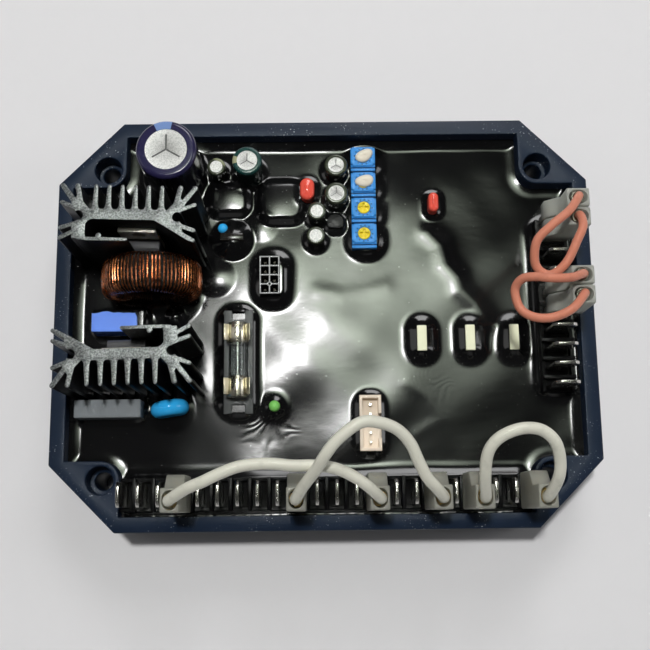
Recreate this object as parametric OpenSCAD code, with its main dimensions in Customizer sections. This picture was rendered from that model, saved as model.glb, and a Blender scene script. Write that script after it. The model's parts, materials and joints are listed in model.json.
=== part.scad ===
// Potted automatic voltage regulator for a small generator.
// A moulded tray with four screw bosses holds a circuit board under black potting resin.
// Heatsinks, a wound ring, capacitors, trimmers, a fuse and two rows of blades stand out of the resin.
// Millimetres: X runs along the long blade row, Y runs to the back, Z runs up from the mounting face.

/* [Case] */
// Width of the tray over the outside
case_w = 145; // [140:1:165]
// Depth of the tray over the outside
case_d = 111.5; // [108:0.5:130]
// Height of the tray
case_h = 22; // [20:0.5:22.5]
// Leg of the cut across each corner
case_cut = 17.5; // [14:0.5:19]
// Width of the rim round the cavity
rim_w = 4; // [3:0.1:5]
// Thickness of the floor
floor_t = 2.5; // [1.5:0.1:4]
// Diameter of the posts under the board
post_d = 6; // [4:0.5:8]
// Distance of the posts from the cavity walls
post_inset = 24; // [20:1:28]

/* [Mounting] */
// Distance of each screw hole from both outer faces
hole_inset = 13.5; // [12.5:0.25:14.5]
// Diameter of the screw holes
hole_d = 4.8; // [4:0.1:5.5]
// Diameter of the counterbores
counterbore_d = 7.4; // [6.5:0.1:8.5]
// Depth of the counterbores
counterbore_depth = 5.5; // [3:0.5:8]
// Radius of the boss noses round the holes
boss_r = 5; // [4.6:0.1:5.4]

/* [Board and resin] */
// Thickness of the circuit board
board_t = 1.6; // [1:0.1:2.4]
// Height of the board's underside
board_z = 10.4; // [8:0.2:11]
// Gap from the board's edge to the cavity wall
board_gap = 0.8; // [0.4:0.1:1.5]
// Depth of resin over the board
resin_depth = 4.5; // [3:0.1:5]
// Gap that parts the resin from what it holds
resin_gap = 0.05; // [0.02:0.01:0.1]
// Rise of the resin where it wets a part
resin_rise = 1.2; // [0.5:0.1:1.5]
// Reach of the wetted collar round a part
resin_reach = 1.6; // [0.8:0.1:2]

/* [Blade terminals] */
// Pitch of the blades
tab_pitch = 5; // [4.8:0.05:5.2]
// Width of a blade
tab_w = 6.35; // [5.5:0.05:6.6]
// Thickness of a blade
tab_t = 0.8; // [0.5:0.1:1]
// Height of the blade tips over the strip's base
tab_free = 12.7; // [11:0.1:14]
// Corner cut at a blade's tip
tab_cut = 1.1; // [0.5:0.1:1.5]
// Number of blades in the side row
side_tab_n = 10; // [6:1:10]
// Depth of a terminal strip
strip_d = 8.6; // [8:0.1:9]
// Height of the strips over the rim
strip_over = 0.5; // [0:0.1:1]
// Height of the ribs over the base
strip_rib_h = 3.5; // [2:0.1:3.5]
// Thickness of the ribs
strip_rib_t = 1; // [0.6:0.1:1.4]
// Length of a strip past its last blade
strip_end = 1.2; // [0.8:0.1:1.4]
// Gap from the strips to the walls and bosses
strip_gap = 0.3; // [0.2:0.1:0.6]
// Clearance of a blade in its slot
tab_clear = 0.05; // [0.02:0.01:0.1]

/* [Sleeves and receptacles] */
// Gap between two sleeves on neighbouring blades
sleeve_gap = 0.3; // [0.2:0.05:0.5]
// Depth of a sleeve over the blade
sleeve_d = 9.3; // [8.8:0.1:9.6]
// Depth of a sleeve at the lead
sleeve_top_d = 5.8; // [5.2:0.1:6.4]
// Height of a sleeve
sleeve_h = 21.7; // [20:0.1:24]
// Height of a sleeve's shoulder
sleeve_shoulder = 11; // [10:0.1:12]
// Sheet of a receptacle
receptacle_t = 0.35; // [0.25:0.05:0.4]
// Length of the curled grip on the blade
grip_h = 7.5; // [6:0.1:8]
// Depth of the lead in its crimp
crimp_h = 3; // [2:0.1:4]
// Wall of the crimp round the white leads
crimp_wall = 0.15; // [0.1:0.01:0.25]
// Clearance of a receptacle in its sleeve and of a lead in its crimp
crimp_clear = 0.1; // [0.05:0.01:0.2]
// Diameter of the white leads
white_lead_d = 2.8; // [2.4:0.1:3]
// Diameter of the pink leads
pink_lead_d = 2.2; // [1.8:0.1:2.6]

/* [Heatsinks] */
// Length of the extrusion
heatsink_h = 25.4; // [20:0.2:30]
// Thickness of the web
web_t = 2.8; // [2:0.1:3.4]
// Pitch of the straight fins
fin_pitch = 3.35; // [3.2:0.05:3.5]
// Thickness of a fin at its tip
fin_t = 1.1; // [0.8:0.1:1.4]
// Height of the fin tips over the seat
fin_reach = 9.2; // [8.5:0.1:9.6]
// Radius of the screw channels
channel_r = 1.2; // [1:0.05:1.3]
// Lean of the rear heatsink
rear_turn = -2; // [-3:0.5:0]
// Lean of the front heatsink
front_turn = 1.5; // [0:0.5:2]

/* [Power transistors] */
// Width of a transistor
power_w = 10; // [9:0.1:10.5]
// Height of the metal tab
power_h = 15.7; // [15:0.1:16.5]
// Height of the moulded body
power_body_h = 9.2; // [8.5:0.1:10]
// Thickness over tab and body
power_t = 4.5; // [4.2:0.1:4.7]
// Thickness of the metal tab
power_tab_t = 1.3; // [1:0.1:1.5]
// Height of the body's foot over the board
power_foot = 7.6; // [6:0.1:8.5]
// Pitch of the leads
power_pitch = 2.54; // [2.4:0.02:2.6]

/* [Wound ring] */
// Outside diameter of the core
core_od = 25.6; // [24:0.2:26]
// Inside diameter of the core
core_id = 14; // [13:0.2:15]
// Width of the core
core_w = 9.8; // [9:0.1:10.4]
// Diameter of the winding wire
turn_d = 0.68; // [0.5:0.02:0.7]
// Number of turns
turns = 54; // [30:1:54]
// Gap from wire to core
turn_gap = 0.03; // [0.02:0.01:0.05]

/* [Fuse] */
// Length of the fuse
fuse_l = 20; // [18:0.5:22]
// Diameter of the end caps
fuse_d = 5.2; // [4.8:0.1:5.6]
// Length of an end cap
fuse_cap_l = 5.5; // [5:0.1:6]
// Wall of the end caps
fuse_cap_t = 0.15; // [0.1:0.01:0.2]
// Wall of the glass tube
fuse_glass_t = 0.6; // [0.4:0.05:0.8]
// Width of the holder's base
fuse_base_w = 7.9; // [7.5:0.1:9]
// Length of the holder's base
fuse_base_l = 28.3; // [27:0.1:30]
// Height of the holder's base
fuse_base_h = 5.3; // [5.2:0.1:6]
// Width of a clip along the fuse
clip_w = 4.4; // [4:0.1:4.8]
// Sheet of a clip
clip_t = 0.4; // [0.3:0.05:0.5]
// Clearance between the glass, its caps and the clips
fuse_clear = 0.05; // [0.02:0.01:0.1]

/* [Electrolytic capacitors] */
// Diameter of the main capacitor
main_d = 16; // [15:0.2:16.5]
// Height of the main capacitor
main_h = 25; // [20:0.5:30]
// Diameter of the medium capacitor
medium_d = 8; // [7:0.1:9]
// Height of the medium capacitor
medium_h = 16; // [12:0.5:20]
// Diameter of the small capacitors
small_d = 6.3; // [5.5:0.1:6.6]
// Diameter of the smallest capacitors
mini_d = 5; // [4.5:0.1:5.2]
// Height of the small capacitors
small_h = 11; // [9:0.5:12]
// Film of the shrunk sleeves
film_t = 0.2; // [0.15:0.01:0.25]
// Clearance of a sleeve on its can
film_gap = 0.03; // [0.02:0.01:0.05]

/* [Trimmers] */
// Width of a trimmer
trimmer_w = 6.8; // [6.4:0.1:7]
// Depth of a trimmer
trimmer_d = 7; // [6.6:0.1:7.2]
// Height of a trimmer
trimmer_h = 7.5; // [6.5:0.1:8]
// Gap between two trimmers
trimmer_gap = 0.4; // [0.2:0.1:0.8]
// Diameter of the rotors
rotor_d = 3.4; // [3:0.1:3.8]
// Height of the rotors
rotor_h = 1.7; // [1.4:0.1:2]
// Clearance of a rotor in its bore
rotor_clear = 0.05; // [0.02:0.01:0.08]
// Width of the driver slots
slot_w = 0.7; // [0.5:0.05:0.9]

/* [Header and socket] */
// Pitch of the header's cells
cell_pitch = 2.54; // [2.5:0.02:2.6]
// Wall between the cells
cell_wall = 0.36; // [0.3:0.02:0.5]
// Height of the header
header_h = 8.5; // [7:0.1:10]
// Pitch of the socket's pins
socket_pitch = 2.5; // [2.4:0.02:2.6]
// Width of the socket
socket_w = 5.8; // [5.4:0.1:6.2]
// Height of the socket
socket_h = 7; // [6.5:0.1:9]
// Depth of the socket's well
socket_deep = 3; // [2:0.1:5]
// Wall of the socket
socket_wall = 0.8; // [0.6:0.05:1]
// Side of the square pins
pin_w = 0.64; // [0.5:0.02:0.7]

/* [Film and disc capacitors] */
// Width of the pale box capacitors
pale_w = 2.6; // [2.4:0.1:3.5]
// Depth of the pale box capacitors
pale_d = 7; // [6.5:0.1:7.5]
// Height of the pale box capacitors
pale_h = 6.5; // [6:0.1:8]
// Width of the blue box capacitor
blue_w = 14; // [12:0.2:15]
// Depth of the blue box capacitor
blue_d = 6; // [5:0.1:6.4]
// Height of the blue box capacitor
blue_h = 12; // [9:0.2:13]
// Width of the grey box capacitor
grey_w = 17.5; // [16:0.2:18]
// Depth of the grey box capacitor
grey_d = 4.8; // [4.4:0.1:5.4]
// Height of the grey box capacitor
grey_h = 11; // [9:0.2:12]
// Diameter of the disc capacitor
disc_d = 10.2; // [9.6:0.1:10.8]
// Thickness of the disc capacitor
disc_t = 4.2; // [3.4:0.1:4.4]
// Diameter of the lead wires
lead_d = 0.6; // [0.5:0.05:0.7]

/* [Hidden] */
$fn = 48;

// Small overlap that joins the solids of one piece
eps = 0.02;
cavity_w = case_w - 2 * rim_w;
cavity_d = case_d - 2 * rim_w;
hole_x = case_w / 2 - hole_inset;
hole_y = case_d / 2 - hole_inset;
wall_l = -cavity_w / 2;
wall_r = cavity_w / 2;
wall_b = cavity_d / 2;
wall_f = -cavity_d / 2;
board_top = board_z + board_t;
resin_z = board_top + resin_depth;

// Distances from the walls and between neighbours
// Front blade row from the front wall
front_row_in = 5.6;
// Side blade row from the right wall
side_row_in = 6.3;
// First side blade from the back wall
side_row_back = 25.75;
// Main capacitor from the left wall
main_in = 27.5;
// Main capacitor from the back wall
main_back = 1.25;
// Heatsinks over the resin
heatsink_lift = 0.1;
// Thickness of the clip arms
arm_t = 0.9;
// Clip arms from the transistors
arm_air = 0.1;
// Transistors from their seats
power_seat = 0.05;
// Rear heatsink from the left wall
rear_in = 18.9;
// Rear fins from the main capacitor
rear_back = 3.35;
// Ring from the left wall
ring_in = 22.7;
// Ring from the rear clip arm
ring_back = 0.15;
// Ring over the board
ring_lift = 0.1;
// Blue capacitor from the left wall
blue_in = 13.5;
// Blue capacitor from the ring
blue_back = 1.9;
// Front heatsink from the left wall
front_in = 18.1;
// Front clip arm from the blue capacitor
front_back = 1.5;
// Grey capacitor from the left wall
grey_in = 2.4;
// Grey capacitor from the front fins
grey_back = 1.2;
// Disc from the grey capacitor
disc_side = 2;
// Disc from the front fins
disc_back = 1.3;
// Disc over the board
disc_lift = 1.8;
// First mini capacitor from the main one
mini_side = 1.2;
// Medium capacitor from the first mini one
medium_side = 2.3;
// Fuse base from the ring
fuse_side = 4.9;
// Fuse in front of the ring
fuse_front = 20.9;
// Trimmers from the middle
trimmer_x = 11.2;
// First trimmer from the back wall
trimmer_back = 6;
// Rotors behind the middle of their bodies
rotor_y = 0.7;
// Small capacitors from the trimmers
small_side = 1.05;
// First small capacitor from the back wall
small_back = 8.95;
// Second small capacitor from the first
small_step = 8.05;
// First mini capacitor from the back wall
mini_back = 9.1;
// Second mini capacitor left of the small ones
mini_step = 5.35;
// Second mini capacitor from the back wall
mini_front = 22;
// Third mini capacitor left of the second
mini_shift = 0.35;
// Third mini capacitor in front of the second
mini_gap = 6.9;
// Header from the middle
header_x = -14.85;
// Header from the back wall
header_back = 39.15;
// Socket from the middle
socket_x = 11.9;
// Socket from the front wall
socket_in = 23.95;
// End pins of the socket from its ends
socket_end = 1.2;
// Pale capacitors from the right wall
pale_in = 17.2;
// Pale capacitors from the rightmost one
pale_steps = [25, 11.9, 0];
// Pale capacitors from the back wall
pale_back = 56.7;
// First red capacitor from the small ones
red_side = 8;
// First red capacitor from the back wall
red_back = 14.85;
// Second red capacitor from the middle
red_x = 30.4;
// Second red capacitor from the back wall
red_in = 19;
// Width and length of the first red capacitor
red_w = 4;
red_l = 6.3;
// Width and length of the second red capacitor
slim_w = 2.8;
slim_l = 5.5;
// Flat part right of the bead and in front of it
flat_side = 2.6;
flat_front = 2.75;
// Width, depth and height of the flat part
flat_w = 6.4;
flat_d = 2.2;
flat_h = 7;
// Swellings left and right of the medium capacitor, and from the back wall
swell_left = 5.8;
swell_right = 8.9;
swell_back = 16.45;
// Radius of the large, the round and the small swellings
swell_r = 4.5;
dome_r = 5;
swell_small_r = 2.6;
// Small swelling right of the ring and behind the blue capacitor
swell_side = 5.1;
swell_behind = 1.7;
// Length of the pins in the heatsinks
pin_grip = 8;
// Bead from the ring
bead_side = 4.4;
// Bead behind the rear seat
bead_back = 4.7;
// Bead over the resin
bead_lift = 0.8;
// Small transistor left of the small capacitors
to92_side = 0.35;
// Small transistor from the back wall
to92_back = 23.95;
// Small transistor over the board
to92_lift = 1.8;
// Wires of the small transistor apart
to92_pitch = 1.27;
// Lamp from the fuse
lamp_side = 9.7;
// Lamp in front of the fuse's middle
lamp_front = 12.2;
// Straight ends of the leads over their sleeves
lead_lift = 0.5;

// Blade rows: the front row fills the space between the two front bosses
front_room = 2 * (hole_x - boss_r - strip_gap - strip_end);
front_tab_n = floor(front_room / tab_pitch + 0.001) + 1;
front_row_y = wall_f + front_row_in;
side_row_x = wall_r - side_row_in;
side_row_y = wall_b - side_row_back;
front_tab_x = [for (i = [0:front_tab_n - 1]) (i - (front_tab_n - 1) / 2) * tab_pitch];
side_tab_y = [for (i = [0:side_tab_n - 1]) side_row_y - i * tab_pitch];
strip_top = case_h + strip_over;
strip_base_h = strip_top - strip_rib_h - board_top;
tab_h = strip_base_h + tab_free;
// Blades that carry a sleeve, counted from the left and from the back
front_used = [3, 9, 13, 16, 18, 21];
side_used = [0, 1, 4, 5];
// The sleeves fill the pitch, hold the crimps and stand clear of the ribs
sleeve_w = tab_pitch - sleeve_gap;
barrel_d = white_lead_d + 2 * (crimp_clear + crimp_wall);
sleeve_wall = (sleeve_w - barrel_d) / 2 - crimp_clear;
sleeve_z = strip_top + strip_gap;
sleeve_top = sleeve_z + sleeve_h;
crimp_z = sleeve_top - sleeve_wall;

// Left column, from the back wall to the front: each piece follows the one behind it
main_x = wall_l + main_in;
main_y = wall_b - main_back - main_d / 2;
heatsink_z = resin_z + heatsink_lift;
arm_y = power_t + power_seat + arm_air + arm_t / 2;
arm_reach = arm_y + arm_t;
rear_x = wall_l + rear_in;
rear_y = main_y - main_d / 2 - rear_back - fin_reach;
core_r = (core_od + core_id) / 4;
core_section = (core_od - core_id) / 2;
core_flat = core_w - core_section;
turn_r = core_section / 2 + turn_gap + turn_d / 2;
ring_od = core_od + 2 * (turn_gap + turn_d);
ring_w = core_flat + 2 * turn_r + turn_d;
ring_x = wall_l + ring_in;
ring_y = rear_y - arm_reach - ring_back - ring_w / 2;
ring_z = board_top + ring_od / 2 + ring_lift;
blue_x = wall_l + blue_in;
blue_y = ring_y - ring_w / 2 - blue_back - blue_d / 2;
front_x = wall_l + front_in;
front_y = blue_y - blue_d / 2 - front_back - arm_reach;
grey_x = wall_l + grey_in + grey_w / 2;
grey_y = front_y - fin_reach - grey_back - grey_d / 2;
disc_x = grey_x + grey_w / 2 + disc_side + disc_d / 2;
disc_y = front_y - fin_reach - disc_back - disc_t / 2;
disc_turn = 8;
disc_z = board_top + disc_lift + disc_d / 2;

// Middle column
mini_x = main_x + main_d / 2 + mini_side + mini_d / 2;
medium_x = mini_x + mini_d / 2 + medium_side + medium_d / 2;
fuse_x = ring_x + ring_od / 2 + fuse_side + fuse_base_w / 2;
fuse_y = ring_y - fuse_front;
fuse_base_top = board_top + fuse_base_h;
fuse_z = fuse_base_top + clip_t + fuse_clear + fuse_d / 2;
clip_y = fuse_l / 2 - fuse_cap_l / 2;
trimmer_pitch = trimmer_d + trimmer_gap;
trimmer_y = [for (i = [0:3]) wall_b - trimmer_back - i * trimmer_pitch];
trimmer_top = board_top + trimmer_h;
small_x = trimmer_x - trimmer_w / 2 - small_side - small_d / 2;
small_places = [for (i = [0, 1]) [small_x, wall_b - small_back - i * small_step]];
mini_places = [[mini_x, wall_b - mini_back], [small_x - mini_step, wall_b - mini_front],
    [small_x - mini_step - mini_shift, wall_b - mini_front - mini_gap]];
header_y = wall_b - header_back;
header_rows = 4;
header_w = 2 * cell_pitch + cell_wall;
header_l = header_rows * cell_pitch + cell_wall;
socket_y = wall_f + socket_in;
socket_n = 5;
socket_l = socket_n * socket_pitch + 2 * socket_end;

// Right side and small pieces
pale_places = [for (x = pale_steps) [wall_r - pale_in - x, wall_b - pale_back]];
// Each red capacitor: x, y, width and length
red_places = [[small_x - red_side, wall_b - red_back, red_w, red_l],
    [red_x, wall_b - red_in, slim_w, slim_l]];
red_h = 9.5;
bead_x = ring_x + ring_od / 2 + bead_side;
bead_y = rear_y + bead_back;
bead_d = 2.8;
bead_z = resin_z + bead_lift;
flat_x = bead_x + flat_side;
flat_y = bead_y - flat_front;
wire_gap = 0.05;
to92_x = small_x - to92_side;
to92_y = wall_b - to92_back;
to92_d = 4.6;
to92_z = board_top + to92_lift;
to92_h = 4.8;
lamp_x = fuse_x + lamp_side;
lamp_y = fuse_y - lamp_front;
lamp_d = 3;
lamp_h = 7.2;
// Swellings of the resin: x, y and radius
mounds = [[medium_x - swell_left, wall_b - swell_back, swell_r],
    [medium_x + swell_right, wall_b - swell_back, swell_r], [flat_x, flat_y, dome_r],
    [ring_x + swell_side, blue_y + swell_behind, swell_small_r]];

// Routes of the leads between their sleeves, as points from the middle of the row at the sleeves' tops
white_route_1 = [[-33, 0.65, 5.5], [-29, 2.15, 7.5], [-24.5, 4.15, 8], [-20, 5.65, 8], [-14, 6.15, 8],
    [-8, 5.65, 7.5], [-3.5, 5.65, 7], [1, 5.15, 6.5], [5, 3.65, 6], [9, 1.15, 5]];
white_route_2 = [[-5.5, 1.15, 5.5], [-2.5, 4.65, 10.5], [-0.5, 7.65, 13.5], [2.5, 11.15, 15],
    [7.5, 14.65, 15.5], [12, 14.65, 14.5], [16, 13.15, 13], [19, 10.15, 11], [21, 6.15, 9],
    [23, 2.65, 7], [25.5, 0.15, 4.5]];
white_route_3 = [[36.5, 2.15, 6.5], [36.5, 7.15, 10.5], [38, 10.15, 12.5], [41, 12.15, 13.5],
    [45, 13.15, 13.5], [49, 12.65, 12.5], [52, 10.15, 11.5], [53.5, 6.15, 9], [53.5, 2.15, 6.5]];
pink_route_1 = [[-1.9, 17.5, 4.5], [-6.7, 13.5, 5.5], [-10.2, 10, 4.5], [-10.7, 6, 2.5],
    [-9.7, 3.5, 1.5], [-7.2, 2, 1.5], [-4.7, 3, 2.5], [-2.5, 5.5, 3.5], [-0.6, 9.5, 4.5],
    [1.2, 13.5, 4.5]];
pink_route_2 = [[-2.4, 0.5, 5], [-7.3, 0, 6.5], [-11.2, 0.5, 6], [-14.2, 0.5, 4], [-15.7, -1.5, 2],
    [-15.2, -5, 1.5], [-13.7, -7.5, 2], [-10.7, -9, 3], [-6.8, -9, 4], [-2.4, -7, 4.5]];

// A flat strip from one point to another, with its far corners cut
module bar(from, to, width) {
    run = to - from;
    half = width / 2;
    reach = norm(run) + half;
    translate(from) rotate(atan2(run[1], run[0])) polygon([[0, -half], [reach - half * 0.7, -half],
        [reach, -half * 0.5], [reach, half * 0.5], [reach - half * 0.7, half], [0, half]]);
}

// A rectangle with its middle at the given place
module pad(x, y, w, d) {
    translate([x, y]) square([w, d], center = true);
}

// Four places with the signs of the corners
module at_corners(x, y) {
    for (sx = [-1, 1], sy = [-1, 1]) translate([sx * x, sy * y]) children();
}

// Outline of the cavity, drawn in from its walls
module cavity_outline(inset) {
    reach = case_cut + hole_inset;
    nose = boss_r + inset;
    difference() {
        square([cavity_w - 2 * inset, cavity_d - 2 * inset], center = true);
        at_corners(hole_x, hole_y) circle(nose);
        for (sx = [-1, 1], sy = [-1, 1]) translate([sx * hole_x, sy * hole_y]) {
            pad(sx * reach / 2, sy * (reach / 2 - nose), reach, reach);
            pad(sx * (reach / 2 - nose), sy * reach / 2, reach, reach);
        }
    }
}

module case_outline() {
    x = case_w / 2;
    y = case_d / 2;
    polygon([[-x, y - case_cut], [-x + case_cut, y], [x - case_cut, y], [x, y - case_cut],
        [x, case_cut - y], [x - case_cut, -y], [case_cut - x, -y], [-x, case_cut - y]]);
}

module board_posts(d) {
    at_corners(cavity_w / 2 - post_inset, cavity_d / 2 - post_inset) circle(d = d);
}

module case() {
    color("midnightblue") difference() {
        union() {
            difference() {
                linear_extrude(case_h) case_outline();
                translate([0, 0, floor_t]) linear_extrude(case_h) cavity_outline(0);
            }
            translate([0, 0, floor_t - eps]) linear_extrude(board_z - floor_t + eps) board_posts(post_d);
        }
        at_corners(hole_x, hole_y) {
            translate([0, 0, -1]) cylinder(d = hole_d, h = case_h + 2);
            translate([0, 0, case_h - counterbore_depth]) cylinder(d = counterbore_d, h = case_h);
        }
    }
}

module circuit_board() {
    color("darkgreen") translate([0, 0, board_z]) linear_extrude(board_t) cavity_outline(board_gap);
}

// Footprints of everything that stands in the resin, grown by its gap
module resin_pockets() {
    g = 2 * resin_gap;
    translate([main_x, main_y]) circle(d = main_d + g);
    translate([medium_x, main_y]) circle(d = medium_d + g);
    for (p = small_places) translate(p) circle(d = small_d + g);
    for (p = mini_places) translate(p) circle(d = mini_d + g);
    for (y = trimmer_y) pad(trimmer_x, y, trimmer_w + g, trimmer_d + g);
    for (p = pale_places) pad(p[0], p[1], pale_w + g, pale_d + g);
    for (p = red_places) pad(p[0], p[1], p[2] + g, p[3] + g);
    pad(blue_x, blue_y, blue_w + g, blue_d + g);
    pad(grey_x, grey_y, grey_w + g, grey_d + g);
    pad(fuse_x, fuse_y, fuse_base_w + g, fuse_base_l + g);
    pad(header_x, header_y, header_w + g, header_l + g);
    pad(socket_x, socket_y, socket_w + g, socket_l + g);
    pad(0, front_row_y, front_strip_l() + g, strip_d + g);
    pad(side_row_x, side_strip_y(), strip_d + g, side_strip_l() + g);
    translate([lamp_x, lamp_y]) circle(d = lamp_d + g);
    pad(flat_x, flat_y, flat_w + g, flat_d + g);
    for (p = heatsink_places()) at_heatsink(p) {
        for (s = [-1, 1]) translate([s * channel_x, channel_y]) circle(r = channel_r + resin_gap);
        for (i = [-1:1]) pad(power_x + i * power_pitch, -power_lead_y, power_lead_w + g, power_lead_t + g);
    }
    for (p = wire_places()) translate([p[0], p[1]]) circle(d = lead_d + g);
}

// A ring of resin that climbs a round part
module round_collar(x, y, d) {
    rise = [[0, -eps], [resin_reach, -eps], [resin_reach * 0.4, resin_rise * 0.35], [0, resin_rise]];
    translate([x, y, resin_z]) rotate_extrude() translate([d / 2 + resin_gap, 0]) polygon(rise);
}

// A low dome of resin over a small part that it covers
module mound(x, y, r) {
    rise = r * 0.42;
    ball = (r * r + rise * rise) / (2 * rise);
    translate([x, y, resin_z]) intersection() {
        translate([0, 0, rise - ball]) sphere(ball);
        translate([0, 0, -eps]) cylinder(r = r + 1, h = rise + 1);
    }
}

module potting_resin() {
    color([0.03, 0.03, 0.04]) difference() {
        union() {
            translate([0, 0, floor_t + resin_gap])
                linear_extrude(board_z - floor_t - resin_gap) difference() {
                cavity_outline(resin_gap);
                board_posts(post_d + 2 * resin_gap);
            }
            translate([0, 0, board_z]) linear_extrude(board_t) difference() {
                cavity_outline(resin_gap);
                cavity_outline(board_gap - resin_gap);
            }
            translate([0, 0, board_top]) linear_extrude(resin_depth) difference() {
                cavity_outline(resin_gap);
                resin_pockets();
            }
            round_collar(medium_x, main_y, medium_d);
            round_collar(lamp_x, lamp_y, lamp_d);
            round_collar(mini_places[2][0], mini_places[2][1], mini_d);
            difference() {
                for (m = mounds) mound(m[0], m[1], m[2]);
                translate([0, 0, board_top]) linear_extrude(2 * resin_depth) resin_pockets();
            }
        }
        translate([ring_x, ring_y, ring_z]) rotate([90, 0, 0])
            cylinder(d = ring_od + 2 * resin_gap, h = ring_w + 2 * resin_gap, center = true);
        disc_body(resin_gap);
        bead_body(resin_gap);
        small_transistor_body(resin_gap);
    }
}

function front_strip_l() = (front_tab_n - 1) * tab_pitch + 2 * strip_end;
function side_strip_l() = (side_tab_n - 1) * tab_pitch + 2 * strip_end;
function side_strip_y() = side_row_y - (side_tab_n - 1) * tab_pitch / 2;

// A moulded strip along X with a slot for each blade and a rib between two blades
module terminal_strip(places, length) {
    slot = [tab_t + 2 * tab_clear, tab_w - 2 + 2 * tab_clear, strip_base_h + 2];
    lip = 0.9;
    difference() {
        union() {
            translate([-length / 2, -strip_d / 2, 0]) cube([length, strip_d, strip_base_h]);
            for (s = [-1, 1]) translate([-length / 2, s * (strip_d - lip) / 2 - lip / 2, 0])
                cube([length, lip, strip_base_h + strip_rib_h / 2]);
            for (i = [1:len(places) - 1])
                translate([(places[i] + places[i - 1] - strip_rib_t) / 2, -strip_d / 2, 0])
                    cube([strip_rib_t, strip_d, strip_base_h + strip_rib_h]);
        }
        for (x = places) translate([x, 0, strip_base_h / 2]) cube(slot, center = true);
    }
}

// A blade with a narrower leg in the strip and cut corners at its tip
module blade() {
    leg = tab_w / 2 - 1;
    half = tab_w / 2;
    rotate([90, 0, 90]) translate([0, 0, -tab_t / 2]) linear_extrude(tab_t)
        polygon([[-leg, 0], [leg, 0], [leg, strip_base_h], [half, strip_base_h], [half, tab_h - tab_cut],
            [half - tab_cut, tab_h], [tab_cut - half, tab_h], [-half, tab_h - tab_cut],
            [-half, strip_base_h], [-leg, strip_base_h]]);
}

// Rows: the local X axis runs along the strip, and local -Y points out of the case
module on_front_row(z) {
    translate([0, front_row_y, z]) children();
}

module on_side_row(z) {
    translate([side_row_x, side_strip_y(), z]) rotate(90) children();
}

function side_local() = [for (y = side_tab_y) y - side_strip_y()];
function front_used_x() = [for (i = front_used) front_tab_x[min(i, front_tab_n - 1)]];
function side_used_x() = [for (i = side_used) side_local()[min(i, side_tab_n - 1)]];

module front_terminal_strip() {
    color([0.08, 0.08, 0.09]) on_front_row(board_top) terminal_strip(front_tab_x, front_strip_l());
}

module side_terminal_strip() {
    color([0.08, 0.08, 0.09]) on_side_row(board_top) terminal_strip(side_local(), side_strip_l());
}

module front_blades() {
    color("silver") on_front_row(board_top) for (x = front_tab_x) translate([x, 0, 0]) blade();
}

module side_blades() {
    color("silver") on_side_row(board_top) for (x = side_local()) translate([x, 0, 0]) blade();
}

// Side view of a sleeve: wide over the blade, narrower round the lead, flush on its outer side
module sleeve_profile(wall, below, above) {
    back = sleeve_d / 2 - wall;
    outer = -sleeve_d / 2 + wall;
    neck = sleeve_top_d - sleeve_d / 2 - wall;
    polygon([[outer, -below], [back, -below], [back, sleeve_shoulder - wall / 2],
        [neck, sleeve_shoulder + sleeve_d - sleeve_top_d - wall / 2], [neck, sleeve_h + above],
        [outer, sleeve_h + above]]);
}

module sleeve() {
    bore = sleeve_w - 2 * sleeve_wall;
    difference() {
        rotate([90, 0, 90]) translate([0, 0, -sleeve_w / 2])
            linear_extrude(sleeve_w) sleeve_profile(0, 0, 0);
        rotate([90, 0, 90]) translate([0, 0, -bore / 2])
            linear_extrude(bore) sleeve_profile(sleeve_wall, 1, 1);
    }
}

// Distance of the lead's axis from the blade, towards the outer side
lead_offset = (sleeve_d - sleeve_top_d) / 2;

// A rolled receptacle on the blade, a neck, and a crimp barrel with a blind bore for the lead
module receptacle(lead) {
    grip_w = tab_w + 2 * (tab_clear + receptacle_t);
    grip_t = tab_t + 2 * (tab_clear + receptacle_t);
    foot = 0.4;
    roof = 0.6;
    barrel_z = sleeve_shoulder + sleeve_d - sleeve_top_d + foot;
    neck_z = tab_h + board_top - sleeve_z + 0.2;
    neck_outer = -lead_offset - barrel_d / 4;
    neck_inner = sleeve_top_d - sleeve_d / 2 - sleeve_wall - 2 * crimp_clear;
    lead_z = crimp_z - crimp_h - sleeve_z;
    difference() {
        translate([-grip_t / 2, -grip_w / 2, foot]) cube([grip_t, grip_w, neck_z + roof - foot]);
        translate([0, 0, neck_z / 2 - 0.5])
            cube([tab_t + 2 * tab_clear, tab_w + 2 * tab_clear, neck_z + 1], center = true);
        translate([tab_t / 2, 0, grip_h / 2]) cube([tab_t * 2, tab_w / 4, grip_h + 2], center = true);
    }
    translate([-grip_t / 2, neck_outer, neck_z + roof / 2])
        cube([grip_t, neck_inner - neck_outer, barrel_z - neck_z]);
    translate([0, -lead_offset, barrel_z]) difference() {
        cylinder(d = barrel_d, h = crimp_z - sleeve_z - barrel_z);
        translate([0, 0, lead_z - barrel_z]) cylinder(d = lead + 2 * crimp_clear, h = crimp_h + 1);
    }
}

module front_sleeves() {
    color([0.8, 0.8, 0.76]) on_front_row(sleeve_z) for (x = front_used_x()) translate([x, 0, 0]) sleeve();
}

module side_sleeves() {
    color([0.8, 0.8, 0.76]) on_side_row(sleeve_z) for (x = side_used_x()) translate([x, 0, 0]) sleeve();
}

module front_receptacles() {
    color("goldenrod") on_front_row(sleeve_z)
        for (x = front_used_x()) translate([x, 0, 0]) receptacle(white_lead_d);
}

module side_receptacles() {
    color("goldenrod") on_side_row(sleeve_z)
        for (x = side_used_x()) translate([x, 0, 0]) receptacle(pink_lead_d);
}

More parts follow.
